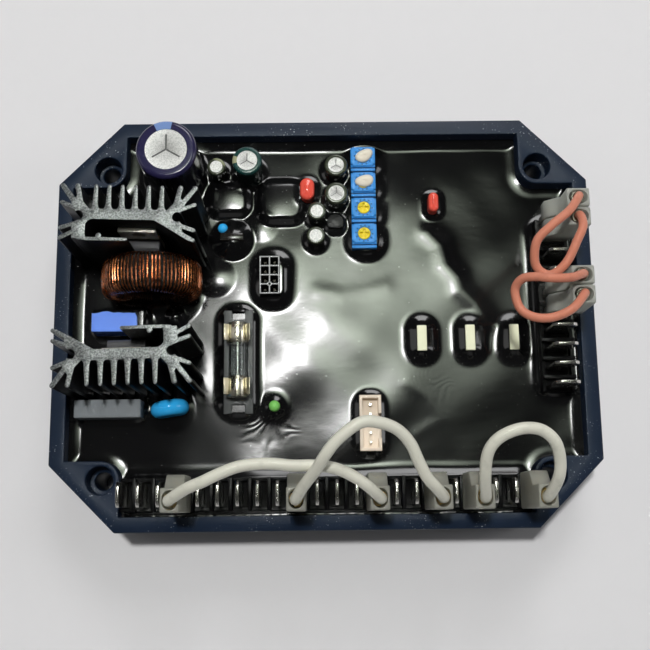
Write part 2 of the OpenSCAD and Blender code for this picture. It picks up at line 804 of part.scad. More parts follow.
// A round lead swept along its points, with eight sides
module lead_tube(route, d) {
    n = len(route);
    sides = 8;
    function along(i) = route[min(i + 1, n - 1)] - route[max(i - 1, 0)];
    function flat(v) = v / norm(v);
    function side_of(t) = abs(t[2]) > 0.95 * norm(t) ? [1, 0, 0] : flat(cross(t, [0, 0, 1]));
    // Each ring keeps the last one's side, so that the tube does not twist
    function sides_from(i, last) = let (t = flat(along(i)), s = flat(last - t * (last * t)))
        i == n - 1 ? [s] : concat([s], sides_from(i + 1, s));
    frames = sides_from(0, side_of(along(1)));
    points = [for (i = [0:n - 1]) let (t = flat(along(i)), u = frames[i], v = cross(t, u))
        for (k = [0:sides - 1]) route[i] + d / 2 * (u * cos(360 * k / sides) + v * sin(360 * k / sides))];
    walls = [for (i = [0:n - 2], k = [0:sides - 1]) let (a = i * sides + k, b = i * sides + (k + 1) % sides)
        [a, a + sides, b + sides, b]];
    polyhedron(points, concat([[for (k = [0:sides - 1]) k]], walls,
        [[for (k = [sides - 1:-1:0]) (n - 1) * sides + k]]));
}

// The straight end of a lead in its crimp, up out of the sleeve
function front_end(i) = let (x = front_used_x()[i], y = front_row_y - lead_offset)
    [[x, y, crimp_z - crimp_h], [x, y, sleeve_top + lead_lift]];
function side_end(i) = let (y = side_strip_y() + side_used_x()[i], x = side_row_x + lead_offset)
    [[x, y, crimp_z - crimp_h], [x, y, sleeve_top + lead_lift]];
function reversed(list) = [for (i = [len(list) - 1:-1:0]) list[i]];

module white_lead(from, route, to) {
    laid = [for (p = route) p + [0, front_row_y, sleeve_top]];
    color("ivory") lead_tube(concat(front_end(from), laid, reversed(front_end(to))), white_lead_d);
}

module pink_lead(from, route, to) {
    laid = [for (p = route) p + [side_row_x, side_strip_y(), sleeve_top]];
    color("darksalmon") lead_tube(concat(side_end(from), laid, reversed(side_end(to))), pink_lead_d);
}

module white_lead_1() { white_lead(0, white_route_1, 2); }
module white_lead_2() { white_lead(1, white_route_2, 3); }
module white_lead_3() { white_lead(4, white_route_3, 5); }
module pink_lead_1() { pink_lead(0, pink_route_1, 1); }
module pink_lead_2() { pink_lead(2, pink_route_2, 3); }

// Places of the two heatsinks: x, y and turn
function heatsink_places() = [[rear_x, rear_y, rear_turn], [front_x, front_y, 180 + front_turn]];

module at_heatsink(p) {
    translate([p[0], p[1]]) rotate(p[2]) children();
}

fin_n = 6;
fin_first = -(fin_n - 1) / 2 * fin_pitch;
web_half = fin_n / 2 * fin_pitch + 1.4;
channel_x = web_half + 1;
channel_y = web_t * 0.36;
outer_x = web_half + 5.3;

// Points of the right end, or the same points on the left end
function sided(s, list) = [for (p = s > 0 ? list : reversed(list)) [s * p[0], p[1]]];

// Outline of one straight fin: hollow curves at its root make the gaps round, and it thins to its tip
module fin_outline() {
    root = fin_pitch * 0.45;
    neck = fin_t * 0.68;
    tip = fin_t * 0.46;
    foot = web_t - 0.1;
    curve = [for (a = [0:18:90]) [neck + (root - neck) * (1 - sin(a)), foot + fin_t * (1 - cos(a))]];
    right = concat([[root, web_t / 2]], curve, [[tip, fin_reach - tip], [tip * 0.8, fin_reach - tip * 0.3],
        [tip * 0.35, fin_reach]]);
    polygon(concat(right, reversed([for (p = right) [-p[0], p[1]]])));
}

// Outline of the extrusion: straight fins on the web, fanned fins at both ends,
// screw channels, a slanted arm on one side and a clip arm that holds the transistor on the other
module heatsink_outline() {
    tip = fin_t / 2;
    difference() {
        union() {
            translate([-web_half, 0]) square([2 * web_half, web_t]);
            for (i = [0:fin_n - 1]) translate([fin_first + i * fin_pitch, 0]) fin_outline();
            for (s = [-1, 1]) {
                bar([s * web_half, web_t - 1], [s * (channel_x + 0.6), fin_reach - tip], fin_t * 1.2);
                bar([s * (web_half + 0.6), web_t - 0.4], [s * outer_x, fin_reach - tip], fin_t * 1.2);
                bar([s * web_half, web_t - 0.6], [s * outer_x, web_t + 1.5], fin_t);
                polygon(sided(s, [[web_half - 1.6, 0.2], [channel_x, channel_y - 1.8],
                    [channel_x + 1, channel_y + 1.4], [web_half + 3, web_t + 1.4],
                    [web_half + 1.6, web_t + (fin_reach - web_t) * 0.55], [web_half - 1.6, web_t]]));
                bar([s * web_half, channel_y - 1.6], [s * outer_x, channel_y - 3.4], fin_t);
                bar([s * (web_half + 0.5), -2.4], [s * outer_x, channel_y - 6], fin_t);
            }
            polygon([[outer_x - 0.7, channel_y - 6.4], [channel_x + 1.6, -2.9],
                [channel_x + 1.2, channel_y - 1.6], [web_half, web_t / 2], [web_half - 4.8, web_t / 2],
                [web_half - 4.8, eps]]);
            polygon([[-web_half + 2.6, web_t / 2], [-channel_x, channel_y - 1], [-channel_x - 1.6, -1.5],
                [-channel_x - 1.4, -arm_y], [-web_half + 1.4, -arm_y], [-web_half + 1, -arm_y + 0.9],
                [-web_half + 0.9, -1.3], [-web_half + 1.4, -0.5], [-web_half + 2.6, 0.1]]);
            bar([-web_half - 1, -arm_y + 0.2], [-web_half + 1.2, -arm_y], arm_t);
            bar([-web_half + 1.2, -arm_y], [power_x - 1.4, -arm_y], arm_t);
            translate([-web_half + 4.4, -arm_y + 0.8]) circle(0.75);
        }
        for (s = [-1, 1]) {
            translate([s * channel_x, channel_y]) circle(channel_r);
            bar([s * channel_x, channel_y], [s * (channel_x + 4), channel_y], 1);
        }
    }
}

module heatsink(p) {
    at_heatsink(p) translate([0, 0, heatsink_z]) linear_extrude(heatsink_h) heatsink_outline();
}

module rear_heatsink() { color("silver") heatsink(heatsink_places()[0]); }
module front_heatsink() { color("silver") heatsink(heatsink_places()[1]); }

// Round pins pressed into the screw channels carry the heatsinks on the board
module heatsink_pins() {
    color("gainsboro") for (p = heatsink_places()) at_heatsink(p)
        for (s = [-1, 1]) translate([s * channel_x, channel_y, board_top])
            cylinder(r = channel_r - resin_gap, h = heatsink_z - board_top + pin_grip);
}

// The transistors lie on the heatsink seats: local -Y runs out from the seat
power_x = 1.2;
power_z = board_top + power_foot;
power_lead_w = 0.8;
power_lead_t = 0.5;
power_lead_y = power_t * 0.6;
power_hole_d = 3.6;

module transistor_tabs() {
    color("gainsboro") for (p = heatsink_places()) at_heatsink(p)
        translate([power_x, -power_seat - power_tab_t, power_z]) difference() {
            translate([-power_w / 2, 0, 0]) cube([power_w, power_tab_t, power_h]);
            translate([0, -1, power_h - 2.8]) rotate([-90, 0, 0])
                cylinder(d = power_hole_d, h = power_tab_t + 2);
        }
}

module transistor_bodies() {
    depth = power_t - power_tab_t;
    color([0.1, 0.1, 0.11]) for (p = heatsink_places()) at_heatsink(p)
        translate([power_x - power_w / 2, -power_seat - power_tab_t, power_z]) rotate([90, 0, 90])
            linear_extrude(power_w) polygon([[0, 0], [-depth, 0.3], [-depth, power_body_h - 0.8],
                [-depth + 0.8, power_body_h], [0, power_body_h]]);
}

module transistor_leads() {
    color("gainsboro") for (p = heatsink_places()) at_heatsink(p)
        for (i = [-1:1]) translate([power_x + i * power_pitch, -power_lead_y, board_top])
            linear_extrude(power_foot) pad(0, 0, power_lead_w, power_lead_t);
}

// The ring stands on edge, with its axis along Y
module at_ring() {
    translate([ring_x, ring_y, ring_z]) rotate([90, 0, 0]) children();
}

module ring_core() {
    color("dimgray") at_ring() rotate_extrude() translate([core_r, 0]) {
        square([core_section, core_flat], center = true);
        for (s = [-1, 1]) translate([0, s * core_flat / 2]) circle(d = core_section);
    }
}

// One turn of wire round the core's section: two straights and two half rings
module wire_turn() {
    for (s = [-1, 1]) {
        translate([s * turn_r, 0, 0]) cylinder(d = turn_d, h = core_flat, center = true);
        translate([0, 0, s * core_flat / 2]) rotate([s * 90, 0, 0])
            rotate_extrude(angle = 180) translate([turn_r, 0]) circle(d = turn_d);
    }
}

module ring_winding() {
    color("chocolate") at_ring() for (i = [0:turns - 1])
        rotate(-90 + 360 * (i + 1) / (turns + 2)) translate([core_r, 0, 0]) wire_turn();
}

// Fuse: a base on the board, two clips, a glass tube with two metal caps and a wire inside
module fuse_base() {
    notch_w = fuse_base_w - 2 * 2.2;
    color([0.35, 0.36, 0.36]) translate([fuse_x, fuse_y, board_top]) difference() {
        linear_extrude(fuse_base_h) difference() {
            pad(0, 0, fuse_base_w, fuse_base_l);
            for (s = [-1, 1]) pad(0, s * fuse_base_l / 2, notch_w, 5);
        }
        translate([0, 0, fuse_base_h + 0.3])
            cube([fuse_base_w - 3, 2 * clip_y - clip_w - 1, 2], center = true);
    }
}

// Section of a clip: a flat foot, two arms that follow the cap and two lips that flare out
module clip_outline() {
    inner = fuse_d / 2 + fuse_clear;
    outer = inner + clip_t;
    mouth = 55;
    far = 2 * outer;
    lip = [outer * sin(mouth) - clip_t / 2, outer * cos(mouth)];
    difference() {
        circle(outer);
        circle(inner);
        polygon([[0, 0], far * [sin(mouth), cos(mouth)], [0, 2 * far], far * [-sin(mouth), cos(mouth)]]);
    }
    pad(0, -outer + clip_t / 2, fuse_d * 0.6, clip_t);
    for (s = [-1, 1]) bar([s * lip[0], lip[1] - 0.1], [s * (lip[0] + 1), lip[1] + 0.7], clip_t);
}

module fuse_clips() {
    color("gold") for (s = [-1, 1]) translate([fuse_x, fuse_y + s * clip_y, fuse_z])
        rotate([90, 0, 0]) translate([0, 0, -clip_w / 2]) linear_extrude(clip_w) clip_outline();
}

glass_d = fuse_d - 2 * (fuse_cap_t + fuse_clear);
glass_l = fuse_l - 2 * (fuse_cap_t + fuse_clear);

module along_fuse(l) {
    translate([fuse_x, fuse_y, fuse_z]) rotate([90, 0, 0]) translate([0, 0, -l / 2]) children();
}

module fuse_glass() {
    color([0.8, 0.85, 0.85, 0.4]) along_fuse(glass_l) difference() {
        cylinder(d = glass_d, h = glass_l);
        translate([0, 0, -1]) cylinder(d = glass_d - 2 * fuse_glass_t, h = glass_l + 2);
    }
}

module fuse_caps() {
    color("silver") for (s = [-1, 1])
        translate([fuse_x, fuse_y + s * fuse_l / 2, fuse_z]) rotate([s * 90, 0, 0]) difference() {
            cylinder(d = fuse_d, h = fuse_cap_l);
            translate([0, 0, fuse_cap_t]) cylinder(d = glass_d + 2 * fuse_clear, h = fuse_cap_l);
        }
}

module fuse_wire() {
    color("silver") along_fuse(glass_l + 2 * fuse_clear) cylinder(d = 0.3, h = glass_l + 2 * fuse_clear);
}

// Half section of a round can with a rounded top edge
module can_section(r, h, edge) {
    square([r, h - edge]);
    square([r - edge, h]);
    translate([r - edge, h - edge]) circle(edge);
}

// An aluminium can with a scored vent in its top
module can(d, h, score) {
    r = d / 2 - film_t - film_gap;
    edge = d * 0.06;
    groove = d * 0.03;
    difference() {
        rotate_extrude() can_section(r, h, edge);
        if (score) for (a = [90:120:330]) rotate(a) translate([0, -groove / 2, h - groove])
            cube([d * 0.26, groove, groove + 1]);
    }
}

// A shrunk film sleeve that laps over the can's top edge
module can_film(d, h) {
    r = d / 2;
    edge = d * 0.06;
    difference() {
        rotate_extrude() difference() {
            can_section(r, h + film_t + film_gap, edge + film_t);
            translate([0, -1]) can_section(r - film_t, h + film_gap + 1, edge + film_gap);
        }
        translate([0, 0, h / 2]) cylinder(d = d * 0.69, h = h + 4);
    }
}

module at_electrolytic(x, y) {
    translate([x, y, board_top]) children();
}

module main_capacitor() {
    color("lightgray") at_electrolytic(main_x, main_y) can(main_d, main_h, true);
}

module main_capacitor_film() {
    color("darkslateblue") at_electrolytic(main_x, main_y) can_film(main_d, main_h);
}

module medium_capacitor() {
    color("lightgray") at_electrolytic(medium_x, main_y) can(medium_d, medium_h, true);
}

module medium_capacitor_film() {
    color("darkslategray") at_electrolytic(medium_x, main_y) can_film(medium_d, medium_h);
}

module small_capacitors() {
    color("lightgray") {
        for (p = small_places) at_electrolytic(p[0], p[1]) can(small_d, small_h, true);
        for (p = mini_places) at_electrolytic(p[0], p[1]) can(mini_d, small_h, false);
    }
}

module small_capacitor_films() {
    color("black") {
        for (p = small_places) at_electrolytic(p[0], p[1]) can_film(small_d, small_h);
        for (p = mini_places) at_electrolytic(p[0], p[1]) can_film(mini_d, small_h);
    }
}

// A trimmer body with notched corners, a grooved front step and a round bore for its rotor
module trimmer_body() {
    step = 1.5;
    groove = 0.25;
    notch = 0.6;
    difference() {
        translate([-trimmer_w / 2, -trimmer_d / 2, 0]) cube([trimmer_w, trimmer_d, trimmer_h]);
        translate([-trimmer_w, -trimmer_d / 2 - 1, trimmer_h - 0.5]) cube([2 * trimmer_w, step + 1, 1]);
        translate([-trimmer_w, -trimmer_d / 2 + step - 0.6, trimmer_h - 0.9])
            cube([2 * trimmer_w, groove, 1]);
        for (sx = [-1, 1], y = [-trimmer_d / 2 + step, trimmer_d / 2])
            translate([sx * trimmer_w / 2, y, trimmer_h]) cube([notch * 2, notch * 2, 1.2], center = true);
        translate([0, rotor_y, trimmer_h - rotor_h - rotor_clear])
            cylinder(d = rotor_d + 2 * rotor_clear, h = rotor_h + 1);
    }
}

// A rotor with a crossed driver slot
module rotor(i) {
    slot_depth = rotor_h * 0.5;
    translate([trimmer_x, trimmer_y[i] + rotor_y, trimmer_top - rotor_h]) difference() {
        cylinder(d = rotor_d, h = rotor_h);
        for (a = [0, 90]) rotate(a) translate([-rotor_d / 2 + 0.35, -slot_w / 2, rotor_h - slot_depth])
            cube([rotor_d - 0.7, slot_w, slot_depth + 1]);
    }
}

module trimmer_bodies() {
    color("dodgerblue") for (y = trimmer_y) translate([trimmer_x, y, board_top]) trimmer_body();
}

module trimmer_rotor_1() { color("gold") rotor(2); }
module trimmer_rotor_2() { color("gold") rotor(3); }
module sealed_rotors() { color("gold") for (i = [0, 1]) rotor(i); }

// Flat-bottomed drops of sealing compound over the two set rotors
module drop(x, y, r) {
    rise = r * 0.36;
    ball = (r * r + rise * rise) / (2 * rise);
    translate([x, y, trimmer_top]) intersection() {
        translate([0, 0, rise - ball]) sphere(ball);
        cylinder(r = r + 1, h = rise + 1);
    }
}

module rotor_sealant() {
    color("seashell") for (i = [0, 1]) {
        drop(trimmer_x - 0.3, trimmer_y[i] + rotor_y, 2.1);
        drop(trimmer_x + 1, trimmer_y[i] + rotor_y + 0.5, 1.7);
    }
}

// Header: two rows of square cells with thin walls and a round post at one crossing
header_floor = 2;

module header_housing() {
    post_d_out = 1.3;
    cell = cell_pitch - cell_wall;
    color([0.15, 0.15, 0.15]) translate([header_x, header_y, board_top]) {
        difference() {
            linear_extrude(header_h) pad(0, 0, header_w, header_l);
            for (sx = [-1, 1], r = [0:header_rows - 1])
                translate([sx * cell_pitch / 2, (r - (header_rows - 1) / 2) * cell_pitch, header_floor])
                    linear_extrude(header_h) difference() {
                        pad(0, 0, cell, cell);
                        if (r < 2) translate([-sx * cell_pitch / 2, (r == 0 ? 1 : -1) * cell_pitch / 2])
                            circle(d = post_d_out);
                    }
            translate([0, -cell_pitch, header_floor]) cylinder(d = post_d_out / 2, h = header_h);
        }
    }
}

module header_contacts() {
    color("gold") translate([header_x, header_y, board_top + header_floor])
        for (sx = [-1, 1], r = [0:header_rows - 1])
            translate([sx * cell_pitch / 2, (r - (header_rows - 1) / 2) * cell_pitch,
                (header_h - header_floor) / 3])
                cube([pin_w, pin_w, (header_h - header_floor) * 2 / 3], center = true);
}

// Socket: an open white shroud with a keyway in one long wall and a row of square pins
socket_floor = socket_h - socket_deep;

module socket_shroud() {
    key = [socket_wall * 3, socket_l * 0.44, socket_h];
    color("antiquewhite") translate([socket_x, socket_y, board_top]) difference() {
        linear_extrude(socket_h) pad(0, 0, socket_w, socket_l);
        translate([0, 0, socket_floor]) linear_extrude(socket_h)
            pad(0, 0, socket_w - 2 * socket_wall, socket_l - 2 * socket_wall);
        translate([socket_w / 2, -socket_l * 0.05, socket_floor + socket_h / 2]) cube(key, center = true);
    }
}

module socket_pins() {
    color("gainsboro") for (i = [0:socket_n - 1])
        translate([socket_x, socket_y + (i - (socket_n - 1) / 2) * socket_pitch, board_top + socket_floor])
            linear_extrude(socket_deep - 1) pad(0, 0, pin_w, pin_w);
}

// Dipped red capacitors with round ends
module red_capacitors() {
    color("firebrick") for (p = red_places) translate([p[0], p[1], board_top]) linear_extrude(red_h) {
        pad(0, 0, p[2], p[3] - p[2]);
        for (s = [-1, 1]) translate([0, s * (p[3] - p[2]) / 2]) circle(d = p[2]);
    }
}

module pale_box_capacitors() {
    color("palegoldenrod") for (p = pale_places) translate([p[0], p[1], board_top])
        linear_extrude(pale_h) pad(0, 0, pale_w, pale_d);
}

module blue_box_capacitor() {
    color("royalblue") translate([blue_x, blue_y, board_top])
        linear_extrude(blue_h) pad(0, 0, blue_w, blue_d);
}

module grey_box_capacitor() {
    color("slategray") translate([grey_x, grey_y, board_top])
        linear_extrude(grey_h) pad(0, 0, grey_w, grey_d);
}

// A dipped disc on edge, turned a little, with a full round rim
module disc_body(grow) {
    translate([disc_x, disc_y, disc_z]) rotate([90, 0, disc_turn]) rotate_extrude() {
        translate([0, -disc_t / 2 - grow]) square([disc_d / 2 - disc_t / 2, disc_t + 2 * grow]);
        intersection() {
            translate([disc_d / 2 - disc_t / 2, 0]) circle(d = disc_t + 2 * grow);
            translate([0, -disc_t]) square([disc_d, 2 * disc_t]);
        }
    }
}

module disc_capacitor() { color("deepskyblue") disc_body(0); }

module bead_body(grow) {
    translate([bead_x, bead_y, bead_z]) sphere(bead_d / 2 + grow);
}

module bead_capacitor() { color("steelblue") bead_body(0); }

// A flat moulded part that only just shows in a swelling of the resin
module flat_part() {
    color([0.1, 0.1, 0.1]) translate([flat_x, flat_y, board_top])
        linear_extrude(flat_h) pad(0, 0, flat_w, flat_d);
}

// A small moulded transistor with one flat side
module small_transistor_body(grow) {
    translate([to92_x, to92_y, to92_z - grow]) linear_extrude(to92_h + grow) difference() {
        circle(d = to92_d + 2 * grow);
        pad(0, -to92_d * 0.8 - grow, 2 * to92_d, to92_d * 0.9);
    }
}

module small_transistor() { color([0.1, 0.1, 0.1]) small_transistor_body(0); }

module indicator_lamp() {
    color("limegreen") translate([lamp_x, lamp_y, board_top]) {
        cylinder(d = lamp_d, h = lamp_h - lamp_d / 2);
        translate([0, 0, lamp_h - lamp_d / 2]) sphere(d = lamp_d);
    }
}

// Wires under the disc, the bead and the small transistor: x, y and height
function wire_places() = concat(
    [for (s = [-1, 1]) [disc_x + s * disc_d / 4 * cos(disc_turn), disc_y + s * disc_d / 4 * sin(disc_turn),
        disc_z - sqrt(pow(disc_d / 2, 2) - pow(disc_d / 4 - lead_d / 2, 2)) - wire_gap]],
    [[bead_x, bead_y, bead_z - bead_d / 2 - wire_gap]],
    [for (i = [-1:1]) [to92_x + i * to92_pitch, to92_y + 0.5, to92_z]]);

module lead_wires() {
    color("silver") for (p = wire_places()) translate([p[0], p[1], board_top])
        cylinder(d = lead_d, h = p[2] - board_top);
}

case();
circuit_board();
potting_resin();
front_terminal_strip();
front_blades();
side_terminal_strip();
side_blades();
front_sleeves();
side_sleeves();
front_receptacles();
side_receptacles();
white_lead_1();
white_lead_2();
white_lead_3();
pink_lead_1();
pink_lead_2();
rear_heatsink();
front_heatsink();
heatsink_pins();
transistor_tabs();
transistor_bodies();
transistor_leads();
ring_core();
ring_winding();
fuse_base();
fuse_clips();
fuse_glass();
fuse_caps();
fuse_wire();
main_capacitor();
main_capacitor_film();
medium_capacitor();
medium_capacitor_film();
small_capacitors();
small_capacitor_films();
trimmer_bodies();
trimmer_rotor_1();
trimmer_rotor_2();
sealed_rotors();
rotor_sealant();
header_housing();
header_contacts();
socket_shroud();
socket_pins();
red_capacitors();
pale_box_capacitors();
blue_box_capacitor();
grey_box_capacitor();
disc_capacitor();
bead_capacitor();
flat_part();
small_transistor();
indicator_lamp();
lead_wires();
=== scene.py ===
"""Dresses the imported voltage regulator: resin surface, leads, winding, sleeves, finishes, stage."""

import json
import math

import bmesh
import bpy
import numpy as np
from bpy.props import FloatProperty, FloatVectorProperty, IntProperty, PointerProperty
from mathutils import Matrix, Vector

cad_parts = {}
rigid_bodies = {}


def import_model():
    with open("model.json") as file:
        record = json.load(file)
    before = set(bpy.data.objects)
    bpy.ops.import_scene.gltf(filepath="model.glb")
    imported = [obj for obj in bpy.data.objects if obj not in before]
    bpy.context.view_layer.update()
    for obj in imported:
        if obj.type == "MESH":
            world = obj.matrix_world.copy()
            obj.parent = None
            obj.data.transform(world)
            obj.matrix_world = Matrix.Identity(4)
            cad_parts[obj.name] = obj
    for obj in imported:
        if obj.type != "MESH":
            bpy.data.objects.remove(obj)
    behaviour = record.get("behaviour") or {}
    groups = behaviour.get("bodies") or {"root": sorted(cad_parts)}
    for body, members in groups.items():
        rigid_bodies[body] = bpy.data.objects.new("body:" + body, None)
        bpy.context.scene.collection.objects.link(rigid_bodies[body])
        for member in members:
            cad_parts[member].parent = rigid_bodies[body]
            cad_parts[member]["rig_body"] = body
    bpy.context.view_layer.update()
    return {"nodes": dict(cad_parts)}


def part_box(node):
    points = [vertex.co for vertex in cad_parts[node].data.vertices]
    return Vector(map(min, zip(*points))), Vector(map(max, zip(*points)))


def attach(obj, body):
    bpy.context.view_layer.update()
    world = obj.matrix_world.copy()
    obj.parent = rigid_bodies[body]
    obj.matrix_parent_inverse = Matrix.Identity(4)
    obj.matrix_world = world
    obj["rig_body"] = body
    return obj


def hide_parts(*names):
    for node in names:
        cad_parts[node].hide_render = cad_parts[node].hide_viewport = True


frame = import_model()

bl_info = {
    "name": "Potted voltage regulator",
    "version": (1, 0, 0),
    "blender": (4, 5, 0),
    "location": "View3D > Sidebar > Regulator",
    "description": "Dresses the packed regulator with resin, leads, winding, sleeves and finishes",
    "category": "Object",
}

MM = 0.001
BODY = "regulator"
RESIN_LEVEL = 16.5
CAVITY = (68.5, 51.75)
BOSS_AT = (59.0, 42.25)
BOSS_RADIUS = 5.0
# Angle in degrees over which an edge of a CAD node counts as sharp
CAD_SHARP = 32.0


# Colours and shader expressions

def display(red, green, blue):
    """Linear colour of an 8-bit display colour."""
    c = np.array([red, green, blue], float) / 255
    return tuple(float(v) for v in np.where(c <= 0.04045, c / 12.92, ((c + 0.055) / 1.055) ** 2.4))


def feed(tree, socket, term):
    """Link a value to a socket, or set the socket's own number or colour."""
    if isinstance(term, Value):
        tree.links.new(term.socket, socket)
    elif hasattr(socket.default_value, "__len__") and len(socket.default_value) == 4 and len(term) == 3:
        socket.default_value = (*term, 1.0)
    else:
        socket.default_value = term


class Value:
    """A shader socket that takes part in Python expressions: each operator adds one Math node."""

    def __init__(self, tree, socket):
        self.tree = tree
        self.socket = socket

    def math(self, operation, left, right):
        node = self.tree.nodes.new("ShaderNodeMath")
        node.operation = operation
        feed(self.tree, node.inputs[0], left)
        feed(self.tree, node.inputs[1], right)
        return Value(self.tree, node.outputs[0])

    def __add__(self, other):
        return self.math("ADD", self, other)

    def __radd__(self, other):
        return self.math("ADD", other, self)

    def __sub__(self, other):
        return self.math("SUBTRACT", self, other)

    def __rsub__(self, other):
        return self.math("SUBTRACT", other, self)

    def __mul__(self, other):
        return self.math("MULTIPLY", self, other)

    def __rmul__(self, other):
        return self.math("MULTIPLY", other, self)

    def __truediv__(self, other):
        return self.math("DIVIDE", self, other)

    def __pow__(self, other):
        return self.math("POWER", self, other)

    def __gt__(self, other):
        return self.math("GREATER_THAN", self, other)

    def __lt__(self, other):
        return self.math("LESS_THAN", self, other)


class Finish:
    """One material: its tree, its shader, and the one method that adds any other node."""

    def __init__(self, name, colour, roughness, constants=()):
        self.material = bpy.data.materials.new(name)
        self.material.use_nodes = True
        self.tree = self.material.node_tree
        self.shader = self.tree.nodes["Principled BSDF"]
        self.set("Base Color", colour)
        self.set("Roughness", roughness)
        for socket, value in dict(constants).items():
            self.set(socket, value)
        self.place = self.node("TexCoord", output="Object")

    def set(self, socket, term):
        feed(self.tree, self.shader.inputs[socket], term)

    def node(self, kind, settings=(), inputs=(), output=0):
        made = self.tree.nodes.new("ShaderNode" + kind)
        for key, value in dict(settings).items():
            setattr(made, key, value)
        for key, term in dict(inputs).items():
            feed(self.tree, made.inputs[key], term)
        return Value(self.tree, made.outputs[output])

    def axis(self, letter):
        """One coordinate of the piece, in metres."""
        return self.node("SeparateXYZ", inputs={0: self.place}, output="XYZ".index(letter))

    def noise(self, size, detail, stretch=(1, 1, 1)):
        """Smooth noise from 0 to 1 whose features are about size millimetres across."""
        scale = [s / (size * MM) for s in stretch]
        where = self.node("Mapping", inputs={"Vector": self.place, "Scale": scale})
        return self.node("TexNoise", inputs={"Vector": where, "Scale": 1.0, "Detail": detail})

    def distance(self, spot):
        """Distance, in metres, from a spot that is given in millimetres."""
        ends = {0: self.place, 1: [c * MM for c in spot]}
        return self.node("VectorMath", {"operation": "DISTANCE"}, ends, output="Value")

    def apply(self, operation, *terms):
        """Any other operation of a Math node."""
        return self.node("Math", {"operation": operation}, dict(enumerate(terms)))

    def band(self, value, low, high):
        """A smooth step from 0 at low to 1 at high."""
        limits = {"Value": value, "From Min": low, "From Max": high}
        return self.node("MapRange", {"interpolation_type": "SMOOTHSTEP"}, limits)

    def blend(self, factor, under, over):
        """A colour between two, by a factor from 0 to 1."""
        return self.node("Mix", {"data_type": "RGBA"}, {0: factor, 6: under, 7: over}, output=2)

    def bump(self, height, depth, strength=1.0):
        """Raise the surface by height times depth millimetres in its shading."""
        inputs = {"Height": height, "Distance": depth * MM, "Strength": strength}
        self.set("Normal", self.node("Bump", inputs=inputs))


def tint(colour, factor):
    """A colour made lighter or darker by a factor."""
    return tuple(min(1.0, c * factor) for c in colour)


def plastic(name, colour, roughness, grain=0.3, depth=0.006, cloud=0.18, dust=0.0, constants=()):
    """Moulded plastic: cloudy colour, fine grain and uneven gloss, with sparse pale dust where asked for."""
    f = Finish(name, colour, roughness, constants)
    clouds = f.noise(6.0, 3.0)
    fine = f.noise(grain, 3.0)
    paint = f.blend(clouds, tint(colour, 1 - cloud), tint(colour, 1 + cloud))
    rough = roughness * 0.82 + 0.24 * roughness * fine + 0.12 * roughness * clouds
    if dust:
        specks = f.band(f.noise(0.45, 1.0), 0.69, 0.74) * f.band(f.noise(7.0, 2.0), 0.45, 0.65)
        paint = f.blend(specks * dust, paint, display(200, 204, 206))
        rough = rough + 0.25 * specks
    f.set("Base Color", paint)
    f.set("Roughness", rough)
    f.bump(fine, depth)
    return f.material


def metal(name, colour, roughness, stretch=(1, 1, 1), grain=0.25):
    """Bare metal: drawn or brushed grain, stained patches and uneven gloss."""
    f = Finish(name, colour, roughness, {"Metallic": 1.0})
    lines = f.noise(grain, 3.0, stretch)
    patches = f.band(f.noise(3.0, 3.0), 0.45, 0.75)
    bare = f.blend(lines, tint(colour, 0.85), colour)
    f.set("Base Color", f.blend(patches * 0.25, bare, tint(colour, 0.45)))
    f.set("Roughness", roughness * 0.75 + 0.4 * roughness * lines + 0.3 * roughness * patches)
    f.bump(lines, 0.004)
    return f.material


# Meshes worked out as whole arrays

def grid_faces(rows, columns, wrap_rows=False, wrap_columns=False):
    """Quads of a rows by columns grid of points, closed along either way."""
    r = np.arange(rows if wrap_rows else rows - 1)[:, None]
    c = np.arange(columns if wrap_columns else columns - 1)[None, :]
    r2 = (r + 1) % rows
    c2 = (c + 1) % columns
    quad = [r * columns + c, r * columns + c2, r2 * columns + c2, r2 * columns + c]
    return np.stack([np.broadcast_to(q, (r.size, c.size)) for q in quad], -1).reshape(-1, 4)


def joined(parts):
    """Several (points, faces) pairs as one pair."""
    points = np.concatenate([p.reshape(-1, 3) for p, _ in parts])
    starts = np.cumsum([0] + [p.reshape(-1, 3).shape[0] for p, _ in parts[:-1]])
    faces = [row for (_, f), start in zip(parts, starts) for row in (np.asarray(f) + start).tolist()]
    return points, faces


def add_piece(name, points, faces, material, node, sharp=40.0):
    """A mesh piece made from points in millimetres, with doubles merged and faces turned outwards,
    which stands for a CAD node."""
    mesh = bpy.data.meshes.new(name)
    mesh.from_pydata((points * MM).tolist(), [], [list(f) for f in faces])
    shape = bmesh.new()
    shape.from_mesh(mesh)
    bmesh.ops.remove_doubles(shape, verts=shape.verts, dist=1e-7)
    bmesh.ops.recalc_face_normals(shape, faces=shape.faces)
    shape.to_mesh(mesh)
    shape.free()
    return settle(name, mesh, material, node, BODY, sharp)


def settle(name, mesh, material, node, body, sharp):
    """Shade a mesh smooth up to an angle, link it, and hang it on its body in the place of a CAD node."""
    mesh.polygons.foreach_set("use_smooth", np.ones(len(mesh.polygons), bool))
    mesh.set_sharp_from_angle(angle=math.radians(sharp))
    mesh.materials.clear()
    mesh.materials.append(material)
    piece = bpy.data.objects.new(name, mesh)
    bpy.context.scene.collection.objects.link(piece)
    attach(piece, body)
    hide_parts(node)
    return piece


